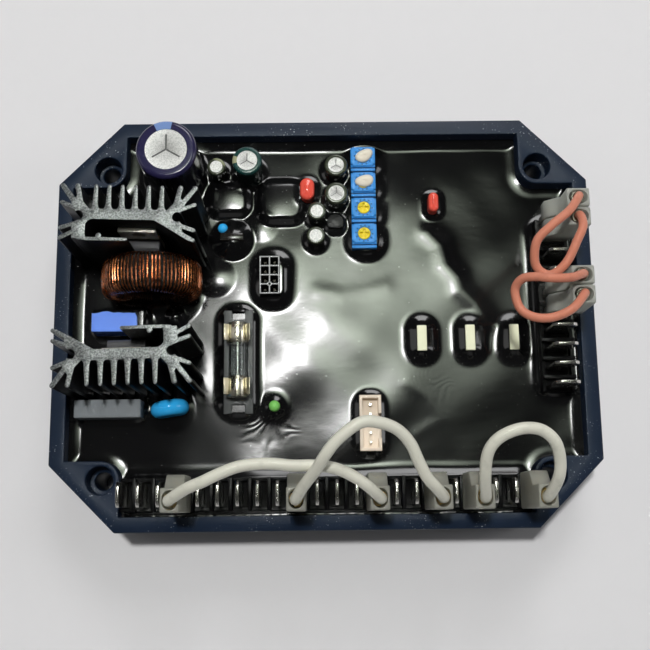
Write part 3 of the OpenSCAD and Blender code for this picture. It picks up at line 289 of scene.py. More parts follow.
def dress(node, material, rounding=0.0, segments=2):
    """A merged copy of a CAD node with its sharp edges rounded, which stands for the node."""
    source = frame["nodes"][node]
    mesh = bpy.data.meshes.new(node + "_shell")
    shape = bmesh.new()
    shape.from_mesh(source.data)
    bmesh.ops.remove_doubles(shape, verts=shape.verts, dist=2e-7)
    if rounding:
        flat = math.radians(0.5)
        bmesh.ops.dissolve_limit(shape, angle_limit=flat, verts=shape.verts, edges=shape.edges)
        limit = math.radians(CAD_SHARP)
        edges = [e for e in shape.edges if len(e.link_faces) == 2 and e.calc_face_angle() > limit]
        bmesh.ops.bevel(shape, geom=edges, offset=rounding * MM, offset_type="OFFSET", segments=segments,
                        profile=0.5, affect="EDGES", clamp_overlap=False)
        bmesh.ops.triangulate(shape, faces=[f for f in shape.faces if len(f.verts) > 4])
    shape.to_mesh(mesh)
    shape.free()
    settle(node + "_shell", mesh, material, node, source["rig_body"], CAD_SHARP)


def solids(node):
    """Lowest and highest corners, in millimetres, of each solid of a CAD node, sorted by x then y."""
    mesh = frame["nodes"][node].data
    points = np.zeros(len(mesh.vertices) * 3, np.float32)
    mesh.vertices.foreach_get("co", points)
    corners = np.zeros(len(mesh.loops), np.int32)
    mesh.loops.foreach_get("vertex_index", corners)
    points = points.reshape(-1, 3) / MM
    _, same = np.unique(np.round(points, 4), axis=0, return_inverse=True)
    triangles = same.ravel()[corners].reshape(-1, 3)
    label = np.arange(triangles.max() + 1)
    while True:
        lowest = label[triangles].min(1)
        before = label.copy()
        np.minimum.at(label, triangles.ravel(), np.repeat(lowest, 3))
        if (label == before).all():
            break
    own = label[same.ravel()]
    boxes = [(points[own == k].min(0), points[own == k].max(0)) for k in np.unique(own)]
    return sorted(boxes, key=lambda b: (round(float(b[0][0]), 1), round(float(b[0][1]), 1)))


def rounded_section(width, depth, radius, count=10):
    """A rectangle with round corners as points: four quarter circles of one radius, joined by straights."""
    turn = np.linspace(0, math.pi / 2, count)
    quarter = np.stack([np.cos(turn), np.sin(turn)], -1) * radius
    out = []
    for k in range(4):
        a = k * math.pi / 2
        spin = np.array([[math.cos(a), math.sin(a)], [-math.sin(a), math.cos(a)]])
        way = np.array([(1, 1), (-1, 1), (-1, -1), (1, -1)][k])
        out.append(quarter @ spin + way * (np.array([width, depth]) / 2 - radius))
    return np.concatenate(out)


def pillow(box, corner, edge, crown):
    """A block with round corners, or with full round sides where no corner is given. Its section draws in
    along a quarter circle at its top edge, and its top is crowned by crown times (1 - r^2)."""
    lo, hi = box
    width, depth, height = hi - lo
    if corner is None:
        corner = width / 2 - 0.02
    turn = np.linspace(0, math.pi / 2, 6)
    draw = [0.0, *(edge * (1 - np.cos(turn)))]
    rise = [0.0, *(height - crown - edge + edge * np.sin(turn))]
    rings = []
    for d, z in zip(draw, rise):
        flat = rounded_section(width - 2 * d, depth - 2 * d, max(corner - d, 0.02))
        rings.append(np.column_stack([flat, np.full(len(flat), z)]))
    last = rings[-1]
    for share in (0.75, 0.5, 0.25, 0.0):
        ring = last * [share, share, 1]
        ring[:, 2] = height - crown + crown * (1 - share * share)
        rings.append(ring)
    foot = rings[0] * [0, 0, 1]
    points = np.stack([foot] + rings) + [(lo[0] + hi[0]) / 2, (lo[1] + hi[1]) / 2, lo[2]]
    return points, grid_faces(points.shape[0], points.shape[1], wrap_columns=True)


def smooth_path(points, per_span):
    """A curve through the points: a cubic on each span, with half the chord of the neighbours as slope."""
    p = np.asarray(points, float)
    ends = np.concatenate([[2 * p[0] - p[1]], p, [2 * p[-1] - p[-2]]])
    t = np.linspace(0, 1, per_span, endpoint=False)[None, :, None]
    a, b, c, d = (ends[k:k + len(p) - 1][:, None] for k in range(4))
    curve = 0.5 * (2 * b + (c - a) * t + (2 * a - 5 * b + 4 * c - d) * t ** 2
                   + (3 * b - a - 3 * c + d) * t ** 3)
    return np.concatenate([curve.reshape(-1, 3), p[-1:]])


def carried_frames(path):
    """Two cross directions along a path. Each ring takes over the last one's side, so nothing twists."""
    tangent = np.gradient(path, axis=0)
    tangent /= np.linalg.norm(tangent, axis=1, keepdims=True)
    first = np.cross(tangent[0], np.eye(3)[np.argmin(np.abs(tangent[0]))])
    sides = [first / np.linalg.norm(first)]
    for t in tangent[1:]:
        s = sides[-1] - t * (sides[-1] @ t)
        sides.append(s / np.linalg.norm(s))
    side = np.array(sides)
    return side, np.cross(tangent, side)


def tube(path, radius, sides):
    """A round tube: path(t) + radius (side cos a + other sin a), closed by flat ends."""
    side, other = carried_frames(path)
    angle = np.linspace(0, 2 * math.pi, sides, endpoint=False)[None, :, None]
    ring = path[:, None] + radius * (side[:, None] * np.cos(angle) + other[:, None] * np.sin(angle))
    faces = [*grid_faces(len(path), sides, wrap_columns=True).tolist(),
             list(range(sides))[::-1], list(range((len(path) - 1) * sides, len(path) * sides))]
    return ring.reshape(-1, 3), faces


# Sizes and colours that a user would change

def length(label, default, words):
    return FloatProperty(name=label, description=words, default=default * MM, unit="LENGTH", precision=5)


def colour(label, default, words):
    return FloatVectorProperty(name=label, description=words, default=default, size=3, min=0, max=1,
                               subtype="COLOR")


class RegulatorSizes(bpy.types.PropertyGroup):
    """Sizes of the dressed pieces."""

    white_lead: length("White lead", 2.8, "Diameter of the white leads")
    pink_lead: length("Pink lead", 2.2, "Diameter of the pink leads")
    wire: length("Winding wire", 0.5, "Diameter of the winding wire")
    turns: IntProperty(name="Turns", description="Turns of wire on the ring", default=76, min=20, max=76)
    wave: length("Resin waves", 0.12, "Height of the slow waves on the resin")
    grid: length("Resin grid", 0.45, "Spacing of the resin surface's points")


class RegulatorColours(bpy.types.PropertyGroup):
    """Colours of the finishes."""

    case: colour("Tray", display(20, 32, 50), "Moulded tray")
    resin: colour("Resin", display(9, 9, 10), "Potting resin")
    white_lead: colour("White leads", display(218, 217, 203), "Covering of the white leads")
    pink_lead: colour("Pink leads", display(206, 130, 105), "Covering of the pink leads")
    copper: colour("Winding", display(196, 116, 70), "Enamelled wire")
    trimmer: colour("Trimmers", display(56, 142, 218), "Trimmer bodies")
    rotor: colour("Rotors", display(228, 206, 38), "Trimmer rotors")
    blue_box: colour("Blue capacitor", display(112, 154, 255), "Blue box capacitor")
    disc: colour("Disc", display(54, 182, 255), "Disc capacitor")
    red: colour("Red capacitors", display(250, 92, 76), "Dipped red capacitors")
    floor: colour("Floor", display(228, 227, 229), "Floor of the stage")


def sizes():
    return bpy.context.scene.regulator_sizes


def colours():
    return bpy.context.scene.regulator_colours


class Builder:
    """What the operators share: they run once and raise their own errors."""

    bl_options = {"REGISTER"}

    def execute(self, context):
        self.build()
        return {"FINISHED"}


# Camera, light and floor

CAMERA_AT = (-1.669, -52.184, 284.778)
CAMERA_TURN = (10.856, -0.2375, -0.716)
CAMERA_LENS = 55.385

# Slope and the two limits, in millimetres, of the panel's cut corners at the rear right and front right
CUT_CORNERS = [(1.1, 405, 315), (-1.6, 185, 85)]

# Fill lamps: name, place in metres, size, power and colour
FILLS = [("left_lamp", (-0.75, 0.1, 0.7), 0.4, 0.45, (1.0, 0.99, 0.97)),
         ("right_lamp", (0.8, 0.1, 0.5), 0.3, 0.9, (0.98, 0.99, 1.0)),
         ("rear_lamp", (0.15, 0.75, 0.8), 0.4, 3.0, (1.0, 1.0, 1.0)),
         ("front_lamp", (0.05, -0.9, 0.6), 0.6, 0.3, (1.0, 1.0, 1.0))]


def glow_panel(name, centre, size, strength, tone, edge, heart=(0, 0, 1, 0), cuts=()):
    """A flat panel that faces down and shows in gloss and in glass alone. Its light fades out towards its
    edges and cut corners, and grows towards its heart, which has a place, a radius and a strength."""
    x, y, z = centre
    w, d = size[0] / 2, size[1] / 2
    mesh = bpy.data.meshes.new(name)
    corners = [(x - w, y - d, z), (x - w, y + d, z), (x + w, y + d, z), (x + w, y - d, z)]
    mesh.from_pydata([tuple(c * MM for c in p) for p in corners], [], [(0, 1, 2, 3)])
    f = Finish(name, (0, 0, 0), 1.0)
    across = f.apply("ABSOLUTE", f.axis("X") - x * MM) / (w * MM)
    along = f.apply("ABSOLUTE", f.axis("Y") - y * MM) / (d * MM)
    fade = f.band(across, 1.0, 1.0 - edge) * f.band(along, 1.0, 1.0 - edge)
    for slope, dark, full in cuts:
        fade = fade * f.band(f.axis("X") + slope * f.axis("Y"), dark * MM, full * MM)
    heart_x, heart_y, radius, gain = heart
    near = f.band(f.distance((heart_x, heart_y, z)), radius * MM, 0.0) ** 1.5
    lamp = f.node("Emission", inputs={"Color": (*tone, 1.0), "Strength": fade * (strength + gain * near)})
    output = f.tree.nodes["Material Output"]
    f.tree.links.new(lamp.socket, output.inputs["Surface"])
    mesh.materials.append(f.material)
    panel = bpy.data.objects.new(name, mesh)
    bpy.context.scene.collection.objects.link(panel)
    panel.visible_camera = False
    panel.visible_diffuse = False
    panel.visible_shadow = False


def soft_lamp(name, place, size, power, tone):
    """A square area lamp that looks at the object."""
    data = bpy.data.lights.new(name, "AREA")
    data.size = size
    data.energy = power
    data.color = tone
    lamp = bpy.data.objects.new(name, data)
    lamp.location = place
    aim = np.array([0, 0, 0.02]) - np.array(place)
    lamp.rotation_mode = "XYZ"
    flat = math.hypot(aim[0], aim[1])
    lamp.rotation_euler = (math.atan2(flat, -aim[2]), 0, math.atan2(aim[1], aim[0]) - math.pi / 2)
    bpy.context.scene.collection.objects.link(lamp)
    return lamp


class REGULATOR_OT_stage(Builder, bpy.types.Operator):
    """Make the floor, the light and the camera"""

    bl_idname = "regulator.stage"
    bl_label = "Stage"

    def build(self):
        scene = bpy.context.scene
        scene.view_settings.view_transform = "Standard"
        data = bpy.data.cameras.new("camera")
        data.lens = CAMERA_LENS
        data.sensor_width = 36
        data.clip_start = 0.01
        camera = bpy.data.objects.new("camera", data)
        camera.location = [c * MM for c in CAMERA_AT]
        camera.rotation_euler = [math.radians(a) for a in CAMERA_TURN]
        scene.collection.objects.link(camera)
        scene.camera = camera

        mesh = bpy.data.meshes.new("floor")
        mesh.from_pydata([(-2, -2, 0), (2, -2, 0), (2, 2, 0), (-2, 2, 0)], [], [(0, 1, 2, 3)])
        paper = plastic("floor_paper", tuple(colours().floor), 0.7, grain=0.8, depth=0.01, cloud=0.01)
        mesh.materials.append(paper)
        floor = bpy.data.objects.new("floor", mesh)
        scene.collection.objects.link(floor)

        glow_panel("window_glow", centre=(45, 140, 616), size=(380, 245), strength=3.1,
                   tone=(0.89, 1.0, 0.83), edge=0.7, heart=(-15, 105, 150, 16), cuts=CUT_CORNERS)
        glow_panel("window_core", centre=(-34, 92, 612), size=(100, 95), strength=48.0,
                   tone=(1.0, 1.0, 0.99), edge=0.6)
        key = soft_lamp("key_lamp", (-0.1, 0.16, 1.3), 0.08, 10.2, (1.0, 1.0, 0.98))
        key.visible_glossy = False
        for fill in FILLS:
            soft_lamp(*fill)

        world = bpy.data.worlds.new("room")
        scene.world = world
        world.use_nodes = True
        tree = world.node_tree
        place = tree.nodes.new("ShaderNodeTexCoord")
        split = tree.nodes.new("ShaderNodeSeparateXYZ")
        tree.links.new(place.outputs["Generated"], split.inputs[0])
        height = Value(tree, split.outputs[2])
        level = height.math("MAXIMUM", height, 0.0)
        sky = 0.1 * (1 - level) ** 3.0 + 0.035
        background = tree.nodes["Background"]
        background.inputs["Color"].default_value = (1.0, 1.0, 1.0, 1.0)
        feed(tree, background.inputs["Strength"], sky)


# Tray and resin

class REGULATOR_OT_tray(Builder, bpy.types.Operator):
    """Dress the tray and the board"""

    bl_idname = "regulator.tray"
    bl_label = "Tray"

    def build(self):
        shell = plastic("tray_plastic", tuple(colours().case), 0.42, grain=0.22, depth=0.012, cloud=0.14,
                        dust=1.0, constants={"Specular IOR Level": 0.36})
        dress("case", shell, rounding=0.35, segments=3)
        dress("circuit_board", plastic("board_laminate", display(40, 92, 52), 0.5))


def block_distance(x, y, box, rounding=0.85):
    """Distance from a box's footprint, with corners rounded by a share of its half width, zero inside."""
    lo, hi = box
    half = (hi - lo)[:2] / 2
    corner = rounding * half.min()
    dx = np.maximum(np.abs(x - (lo[0] + hi[0]) / 2) - half[0] + corner, 0)
    dy = np.maximum(np.abs(y - (lo[1] + hi[1]) / 2) - half[1] + corner, 0)
    return np.maximum(np.hypot(dx, dy) - corner, 0)


def round_distance(x, y, box):
    """Distance from a round footprint in a box."""
    lo, hi = box
    return np.maximum(np.hypot(x - (lo[0] + hi[0]) / 2, y - (lo[1] + hi[1]) / 2) - (hi[0] - lo[0]) / 2, 0)


def boss_distance(x, y):
    """Signed distance from the four corner bosses: a quarter with a round nose, negative inside."""
    px = np.abs(x) - BOSS_AT[0]
    py = np.abs(y) - BOSS_AT[1]
    qx = np.minimum(px, 0)
    qy = np.minimum(py, 0)
    return np.hypot(qx, qy) - BOSS_RADIUS


def wall_distance(x, y):
    """Distance from the cavity's four walls, positive in the cavity."""
    return np.minimum(CAVITY[0] - np.abs(x), CAVITY[1] - np.abs(y))


# Rise and reach of the resin at the walls and at the bosses, with the exponent of its fall
WALL_WETTING = (1.0, 3.0, 1.35)
BOSS_WETTING = (0.4, 3.0, 2.0)
PART_EXPONENT = 2.3
# Rise and reach of the resin round the solids of each node, and the shift of its foot, in millimetres
WETTED = [
    ("main_capacitor", round_distance, 0.9, 2.6, 0, 0),
    ("medium_capacitor", round_distance, 0.8, 2.4, 0, 0),
    ("small_capacitors", round_distance, 0.7, 2.2, 0, 0),
    ("trimmer_bodies", block_distance, 1.2, 3.8, 0.6, -0.5),
    ("pale_box_capacitors", block_distance, 1.5, 5.0, 0, 0),
    ("red_capacitors", block_distance, 0.7, 2.6, 0, 0),
    ("blue_box_capacitor", block_distance, 0.9, 2.6, 0, 0),
    ("grey_box_capacitor", block_distance, 0.9, 2.4, 0, 0),
    ("fuse_base", block_distance, 0.9, 3.0, 0, 0),
    ("header_housing", block_distance, 1.3, 4.6, 0.9, -0.5),
    ("socket_shroud", block_distance, 0.8, 2.8, 0, 0),
    ("front_terminal_strip", block_distance, 1.1, 4.4, 0, 0),
    ("side_terminal_strip", block_distance, 1.0, 3.6, 0, 0),
    ("indicator_lamp", round_distance, 0.8, 3.8, 0, 0),
]
# Swellings over boxy parts that the resin covers: x, y, width, depth, reach and height
COVERED = [(-26.3, 35.0, 8.4, 6.0, 2.8, 1.1), (-11.6, 34.4, 9.6, 9.0, 3.0, 1.4),
           (3.3, 27.8, 3.0, 3.0, 2.2, 0.8)]
# Round swellings: x, y, radius and height
MOUNDS = [(-25.3, 23.6, 6.2, 2.1), (-40.7, 1.4, 3.2, 1.0), (-44.0, 10.2, 12.0, 1.2),
          (-41.5, -23.4, 6.6, 1.0), (-26.3, 35.0, 6.5, 0.35), (-11.6, 34.2, 7.5, 0.4),
          (-17.5, 27.5, 5.0, 0.35), (-30.0, 13.0, 6.0, 0.5)]
# Level of the resin inside the nodes that have openings at the top
HOLLOW = [("header_housing", -4.0), ("socket_shroud", -4.0), ("fuse_base", -0.2)]
# Folds left by the pour: points along each, width and height
FOLDS = [([(29.0, 25.0), (32.5, 21.5), (33.6, 16.0), (36.8, 12.2), (37.6, 8.6), (41.5, 4.8), (44.5, -0.5)],
          2.6, 0.3),
         ([(22.0, -17.0), (27.5, -21.0), (30.5, -27.0), (24.0, -31.0)], 1.6, 0.04),
         ([(-2.0, 9.0), (5.0, 7.6), (11.0, 8.6), (17.0, 10.0)], 2.2, 0.07)]
# Patches of fine creep lines on the resin: x, y, reach and strength
CREEP_PATCHES = [(-15.5, -28.5, 10.0, 0.45), (29.0, -21.0, 11.0, 0.14)]
# How far the resin's sides reach under its level
SKIRT = 4.3


def fold_distance(x, y, points):
    """Distance from a line through the points."""
    out = np.full(x.shape, 1e3)
    for (ax, ay), (bx, by) in zip(points, points[1:]):
        run = np.array([bx - ax, by - ay])
        t = np.clip(((x - ax) * run[0] + (y - ay) * run[1]) / (run @ run), 0, 1)
        out = np.minimum(out, np.hypot(x - ax - t * run[0], y - ay - t * run[1]))
    return out


def climb(away, high, reach, exponent):
    """The resin's rise at a distance from something that it wets: h(1 - d/r)^k."""
    return high * np.clip(1 - away / reach, 0, 1) ** exponent


def resin_height(x, y):
    """Rise over the flat level: the cube root of the summed cubes of the climbs at the walls, bosses and
    wetted parts, plus smooth steps over covered parts, mounds h(1 - (d/r)^2)^1.4, folds h exp(-(d/w)^2)
    and slow sine waves on bent coordinates. Hollow parts have a level of their own inside."""
    wetting = climb(wall_distance(x, y), *WALL_WETTING) ** 3 + climb(boss_distance(x, y), *BOSS_WETTING) ** 3
    for node, away, high, reach, dx, dy in WETTED:
        for box in solids(node):
            wetting = wetting + climb(away(x - dx, y - dy, box), high, reach, PART_EXPONENT) ** 3
    rise = np.cbrt(wetting)
    for cx, cy, wide, deep, reach, high in COVERED:
        half = np.array([wide / 2, deep / 2, 0])
        box = ([cx, cy, 0] - half, [cx, cy, 0] + half)
        step = np.clip(1 - block_distance(x, y, box, 0.5) / reach, 0, 1)
        rise = rise + high * step * step * (3 - 2 * step)
    for cx, cy, r, high in MOUNDS:
        rise = rise + high * np.clip(1 - ((x - cx) ** 2 + (y - cy) ** 2) / r ** 2, 0, 1) ** 1.4
    for points, wide, high in FOLDS:
        rise = rise + high * np.exp(-(fold_distance(x, y, points) / wide) ** 2)
    u = x + 2.5 * np.sin(y / 8.3 + 0.6)
    v = y + 2.2 * np.sin(x / 9.7 + 1.9)
    wave = (0.9 * np.sin(u / 5.3 + 0.7) * np.sin(v / 6.1 + 0.4) + 0.8 * np.sin((u + 0.7 * v) / 7.9 + 2.1)
            + 0.6 * np.sin((0.5 * u - v) / 4.6 + 0.3) + 0.4 * np.sin(u / 3.1 + 1.2) * np.sin(v / 3.7))
    rise = rise + sizes().wave / MM * wave
    for node, level in HOLLOW:
        lo, hi = solids(node)[0]
        inside = np.minimum(np.minimum(x - lo[0], hi[0] - x), np.minimum(y - lo[1], hi[1] - y)) > 0.3
        rise = np.where(inside, level, rise)
    return rise


class REGULATOR_OT_resin(Builder, bpy.types.Operator):
    """Pour the resin: a height field that wets every part"""

    bl_idname = "regulator.resin"
    bl_label = "Resin"

    def build(self):
        step = sizes().grid / MM
        counts = [int(round(2 * c / step)) + 1 for c in CAVITY]
        xs = np.linspace(-CAVITY[0], CAVITY[0], counts[0])
        ys = np.linspace(-CAVITY[1], CAVITY[1], counts[1])
        x, y = np.meshgrid(xs, ys)
        cells = grid_faces(counts[1], counts[0])
        middle = [v.ravel()[cells].mean(1) for v in (x, y)]
        cells = cells[boss_distance(*middle) > 0]
        # Points on the cut edge move onto the boss outline along its gradient
        gap = boss_distance(x, y)
        gy, gx = np.gradient(gap, ys, xs)
        near = (np.abs(gap) < step) & (np.abs(np.minimum(wall_distance(x, y), gap)) < step)
        used = np.zeros(x.size, int)
        np.add.at(used, cells.ravel(), 1)
        edge = near & (used.reshape(x.shape) < 4)
        inner = edge & (np.abs(x) < CAVITY[0] - 1e-6) & (np.abs(y) < CAVITY[1] - 1e-6)
        x = np.where(inner, x - gap * gx, x)
        y = np.where(inner, y - gap * gy, y)
        z = RESIN_LEVEL + resin_height(x, y)
        top = np.stack([x, y, z], -1).reshape(-1, 3)
        # The skirt hangs from the edges that belong to one cell, and a fan closes the underside
        sides = np.concatenate([cells[:, [k, (k + 1) % 4]] for k in range(4)])
        key = np.sort(sides, 1)
        n = top.shape[0]
        _, first, times = np.unique(key[:, 0] * n + key[:, 1], return_index=True, return_counts=True)
        rim = sides[first[times == 1]]
        lower = top * [1, 1, 0] + [0, 0, RESIN_LEVEL - SKIRT]
        skirt = np.stack([rim[:, 1], rim[:, 0], rim[:, 0] + n, rim[:, 1] + n], -1)
        fan = np.stack([rim[:, 1] + n, rim[:, 0] + n, np.full(len(rim), 2 * n)], -1)
        points = np.concatenate([top, lower, [[0, 0, RESIN_LEVEL - SKIRT]]])
        faces = cells.tolist() + skirt.tolist() + fan.tolist()
        kept = np.unique(np.concatenate([cells.ravel(), skirt.ravel(), fan.ravel()]))
        renumber = np.zeros(len(points), int)
        renumber[kept] = np.arange(len(kept))
        faces = [renumber[f].tolist() for f in faces]
        add_piece("resin_surface", points[kept], faces, self.finish(), "potting_resin", sharp=60)

    def finish(self):
        """Cast resin: near black and glossy, with flow marks, patches of creep lines, haze and dust."""
        f = Finish("cast_resin", tuple(colours().resin), 0.06, {"IOR": 1.56})
        flow = f.noise(7.0, 4.0, (1, 1.8, 1))
        haze = f.band(f.noise(22.0, 2.0), 0.45, 0.75)
        specks = f.band(f.noise(0.5, 1.0), 0.775, 0.80)
        paint = f.blend(haze * 0.6, tuple(colours().resin), display(20, 21, 21))
        f.set("Base Color", f.blend(specks * 0.5, paint, display(150, 152, 148)))
        f.set("Roughness", 0.1 + 0.06 * haze + 0.25 * specks + 0.03 * flow)
        lines = f.apply("SINE", f.noise(13.0, 1.0) * 120.0)
        patch = 0.0
        for x, y, reach, strength in CREEP_PATCHES:
            away = f.distance((x, y, RESIN_LEVEL))
            patch = f.band(away, reach * MM, 0.3 * reach * MM) * strength + patch
        f.bump(flow + lines * patch, 0.03, 0.6)
        return f.material


# Terminals, sleeves and leads

class REGULATOR_OT_terminals(Builder, bpy.types.Operator):
    """Dress the terminal strips and their blades"""

    bl_idname = "regulator.terminals"
    bl_label = "Terminals"

    def build(self):
        black = plastic("strip_plastic", display(7, 7, 8), 0.38, grain=0.3, depth=0.008,
                        constants={"Specular IOR Level": 0.22})
        tin = metal("tinned_blade", display(222, 220, 214), 0.22, (1, 1, 0.2), 0.2)
        for node in ("front_terminal_strip", "side_terminal_strip"):
            dress(node, black, rounding=0.12)
        for node in ("front_blades", "side_blades"):
            dress(node, tin, rounding=0.12)


def sleeve(box, along_y):
    """A sleeve as one loop of sections: up the outer wall, over the rim and down the inner wall.
    It slims down above its shoulder, to the front if it lies along y and otherwise to the right."""
    lo, hi = box
    height = hi[2] - lo[2]
    wall = 0.6
    shoulder = 11.0
    slim = 3.5
    levels = [(0.0, 0.0, 0.0), (0.0, shoulder, 0.0), (slim * 0.5, shoulder + slim * 0.55, 0.0),
              (slim, shoulder + slim, 0.0), (slim, height - 0.5, 0.0), (slim, height - 0.14, 0.12),
              (slim, height, 0.32), (slim, height - 0.1, 0.52), (slim, height - 0.5, wall),
              (slim, shoulder + slim - 0.3, wall), (0.0, shoulder - 0.3, wall), (0.0, 0.0, wall)]
    width, depth = (hi[0] - lo[0], hi[1] - lo[1]) if along_y else (hi[1] - lo[1], hi[0] - lo[0])
    rings = []
    for cut, z, draw in levels:
        corner = 0.42 - draw if draw < 0.4 else width / 2 - draw - 0.01
        flat = rounded_section(width - 2 * draw, depth - cut - 2 * draw, corner, 6)
        flat = flat - [0, cut / 2]
        rings.append(np.column_stack([flat, np.full(len(flat), z)]))
    points = np.stack(rings)
    if not along_y:
        points = np.stack([-points[..., 1], points[..., 0], points[..., 2]], -1)
    points = points + [(lo[0] + hi[0]) / 2, (lo[1] + hi[1]) / 2, lo[2]]
    return points, grid_faces(points.shape[0], points.shape[1], wrap_rows=True, wrap_columns=True)


class REGULATOR_OT_sleeves(Builder, bpy.types.Operator):
    """Make the push-on sleeves and dress the receptacles inside them"""

    bl_idname = "regulator.sleeves"
    bl_label = "Sleeves"

    def build(self):
        groups = [("front", True, display(206, 206, 195), (0.85, 4, 16), display(214, 184, 122)),
                  ("side", False, display(226, 228, 220), (0.08, 6, 12.5), display(150, 146, 136))]
        for group, along_y, milk, veil, tone in groups:
            node = group + "_sleeves"
            made = joined([sleeve(box, along_y) for box in solids(node)])
            add_piece(node + "_nylon", *made, self.nylon(group, milk, veil), node, sharp=50)
            brass = metal(group + "_brass", tone, 0.34)
            dress(group + "_receptacles", brass, rounding=0.06)

    def nylon(self, group, milk, veil):
        """Milky nylon that lets some light through, cloudy and softly glossy. Its veil is the least opacity,
        which it has at the foot, and the heights in millimetres between which it grows to full."""
        f = Finish(group + "_nylon", milk, 0.3, {"Transmission Weight": 0.64, "IOR": 1.2})
        fine = f.noise(0.5, 3.0)
        cloud = f.noise(3.0, 2.0)
        f.set("Base Color", f.blend(cloud, tint(milk, 0.9), tint(milk, 1.06)))
        f.set("Roughness", 0.3 + 0.1 * fine)
        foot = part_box(group + "_sleeves")[0][2]
        least, clear_below, milky_above = veil
        rise = f.band(f.axis("Z"), foot + clear_below * MM, foot + milky_above * MM)
        f.set("Alpha", least + (1 - least) * rise)
        f.bump(cloud, 0.02)
        return f.material


# Lead ends and routes in millimetres, as in the part's source
FRONT_ENDS = [[(x, -47.9, 40.9), (x, -47.9, 45.0)] for x in (-37.5, -7.5, 12.5, 27.5, 37.5, 52.5)]
SIDE_ENDS = [[(63.95, y, 40.9), (63.95, y, 45.0)] for y in (26.0, 21.0, 6.0, 1.0)]
LEADS = [
    ("white_lead_1", FRONT_ENDS[0], FRONT_ENDS[2],
     [(-33, -45.5, 50), (-29, -44, 52), (-24.5, -42, 52.5), (-20, -40.5, 52.5), (-14, -40, 52.5),
      (-8, -40.5, 52), (-3.5, -40.5, 51.5), (1, -41, 51), (5, -42.5, 50.5), (9, -45, 49.5)]),
    ("white_lead_2", FRONT_ENDS[1], FRONT_ENDS[3],
     [(-5.5, -45, 50), (-2.5, -41.5, 55), (-0.5, -38.5, 58), (2.5, -35, 59.5), (7.5, -31.5, 60),
      (12, -31.5, 59), (16, -33, 57.5), (19, -36, 55.5), (21, -40, 53.5), (23, -43.5, 51.5),
      (25.5, -46, 49)]),
    ("white_lead_3", FRONT_ENDS[4], FRONT_ENDS[5],
     [(36.5, -44, 51), (36.5, -39, 55), (38, -36, 57), (41, -34, 58), (45, -33, 58), (49, -33.5, 57),
      (52, -36, 56), (53.5, -40, 53.5), (53.5, -44, 51)]),
    ("pink_lead_1", SIDE_ENDS[0], SIDE_ENDS[1],
     [(60.3, 21, 49), (55.5, 17, 50), (52, 13.5, 49), (51.5, 9.5, 47), (52.5, 7, 46), (55, 5.5, 46),
      (57.5, 6.5, 47), (59.7, 9, 48), (61.6, 13, 49), (63.4, 17, 49)]),
    ("pink_lead_2", SIDE_ENDS[2], SIDE_ENDS[3],
     [(59.8, 4, 49.5), (54.9, 3.5, 51), (51, 4, 50.5), (48, 4, 48.5), (46.5, 2, 46.5), (47, -1.5, 46),
      (48.5, -4, 46.5), (51.5, -5.5, 47.5), (55.4, -5.5, 48.5), (59.8, -3.5, 49)]),
]


class REGULATOR_OT_leads(Builder, bpy.types.Operator):
    """Sweep the jumper leads from sleeve to sleeve"""

    bl_idname = "regulator.leads"
    bl_label = "Leads"

    def build(self):
        white = self.covering("white_covering", tuple(colours().white_lead), 0.34)
        pink = self.covering("pink_covering", tuple(colours().pink_lead), 0.46)
        for name, start, end, route in LEADS:
            pale = name.startswith("white")
            thick = sizes().white_lead if pale else sizes().pink_lead
            path = smooth_path([*start, *route, *end[::-1]], 8)
            points, faces = tube(path, thick / MM / 2, 18)
            lead = add_piece(name + "_cover", points, faces, white if pale else pink, name)
            tuple(c * MM for c in start[0])

    def covering(self, name, shade, roughness):
        """Soft wire covering: faint ripples along its length, handling marks and uneven gloss."""
        f = Finish(name, shade, roughness)
        marks = f.band(f.noise(2.2, 4.0), 0.52, 0.72)
        ripple = f.noise(0.7, 2.0)
        f.set("Base Color", f.blend(marks * 0.5, shade, tint(shade, 0.8)))
        f.set("Roughness", roughness * 0.85 + 0.2 * marks + 0.12 * ripple)
        f.bump(ripple, 0.03, 0.5)
        return f.material


# Heatsinks, ring and fuse

class REGULATOR_OT_heatsinks(Builder, bpy.types.Operator):
    """Dress the heatsinks, their pins and the power transistors"""

    bl_idname = "regulator.heatsinks"
    bl_label = "Heatsinks"

    def build(self):
        extruded = self.extrusion()
        for node in ("rear_heatsink", "front_heatsink"):
            dress(node, extruded, rounding=0.1)
        tin = metal("tinned_lead", display(206, 205, 200), 0.3)
        for node in ("heatsink_pins", "transistor_leads"):
            dress(node, tin)
        plated = metal("plated_tab", display(240, 236, 224), 0.5, (1, 1, 0.15))
        dress("transistor_tabs", plated, rounding=0.15)
        mould = plastic("transistor_mould", display(72, 72, 74), 0.5, grain=0.2, depth=0.02)
        dress("transistor_bodies", mould, rounding=0.2)

    def extrusion(self):
        """Sawn aluminium extrusion: speckled cut ends, drawn lines down the sides, and painted shade that
        makes the sides near black.
        """
        pale = display(186, 188, 187)
        f = Finish("sawn_aluminium", pale, 0.42, {"Metallic": 0.85})
        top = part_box("rear_heatsink")[1][2]
        cut = f.band(f.axis("Z"), top - 0.12 * MM, top - 0.03 * MM)
        fleck = f.noise(0.5, 5.0)
        dent = f.band(f.noise(0.9, 3.0), 0.56, 0.66)
        drawn = f.noise(0.2, 2.0, (1, 1, 0.03))
        # Painted shade: the sides get a near-black grey, far darker than bare aluminium.
        sides = f.blend(drawn, display(24, 25, 26), display(50, 51, 52))
        ends = f.blend(f.band(fleck, 0.34, 0.66), display(100, 103, 104), display(160, 163, 163))
        ends = f.blend(dent * 0.45, ends, display(76, 79, 80))
        f.set("Base Color", f.blend(cut, sides, ends))
        f.set("Roughness", 0.3 + 0.25 * fleck)
        f.bump(cut * fleck + (1 - cut) * drawn, 0.03)
        return f.material


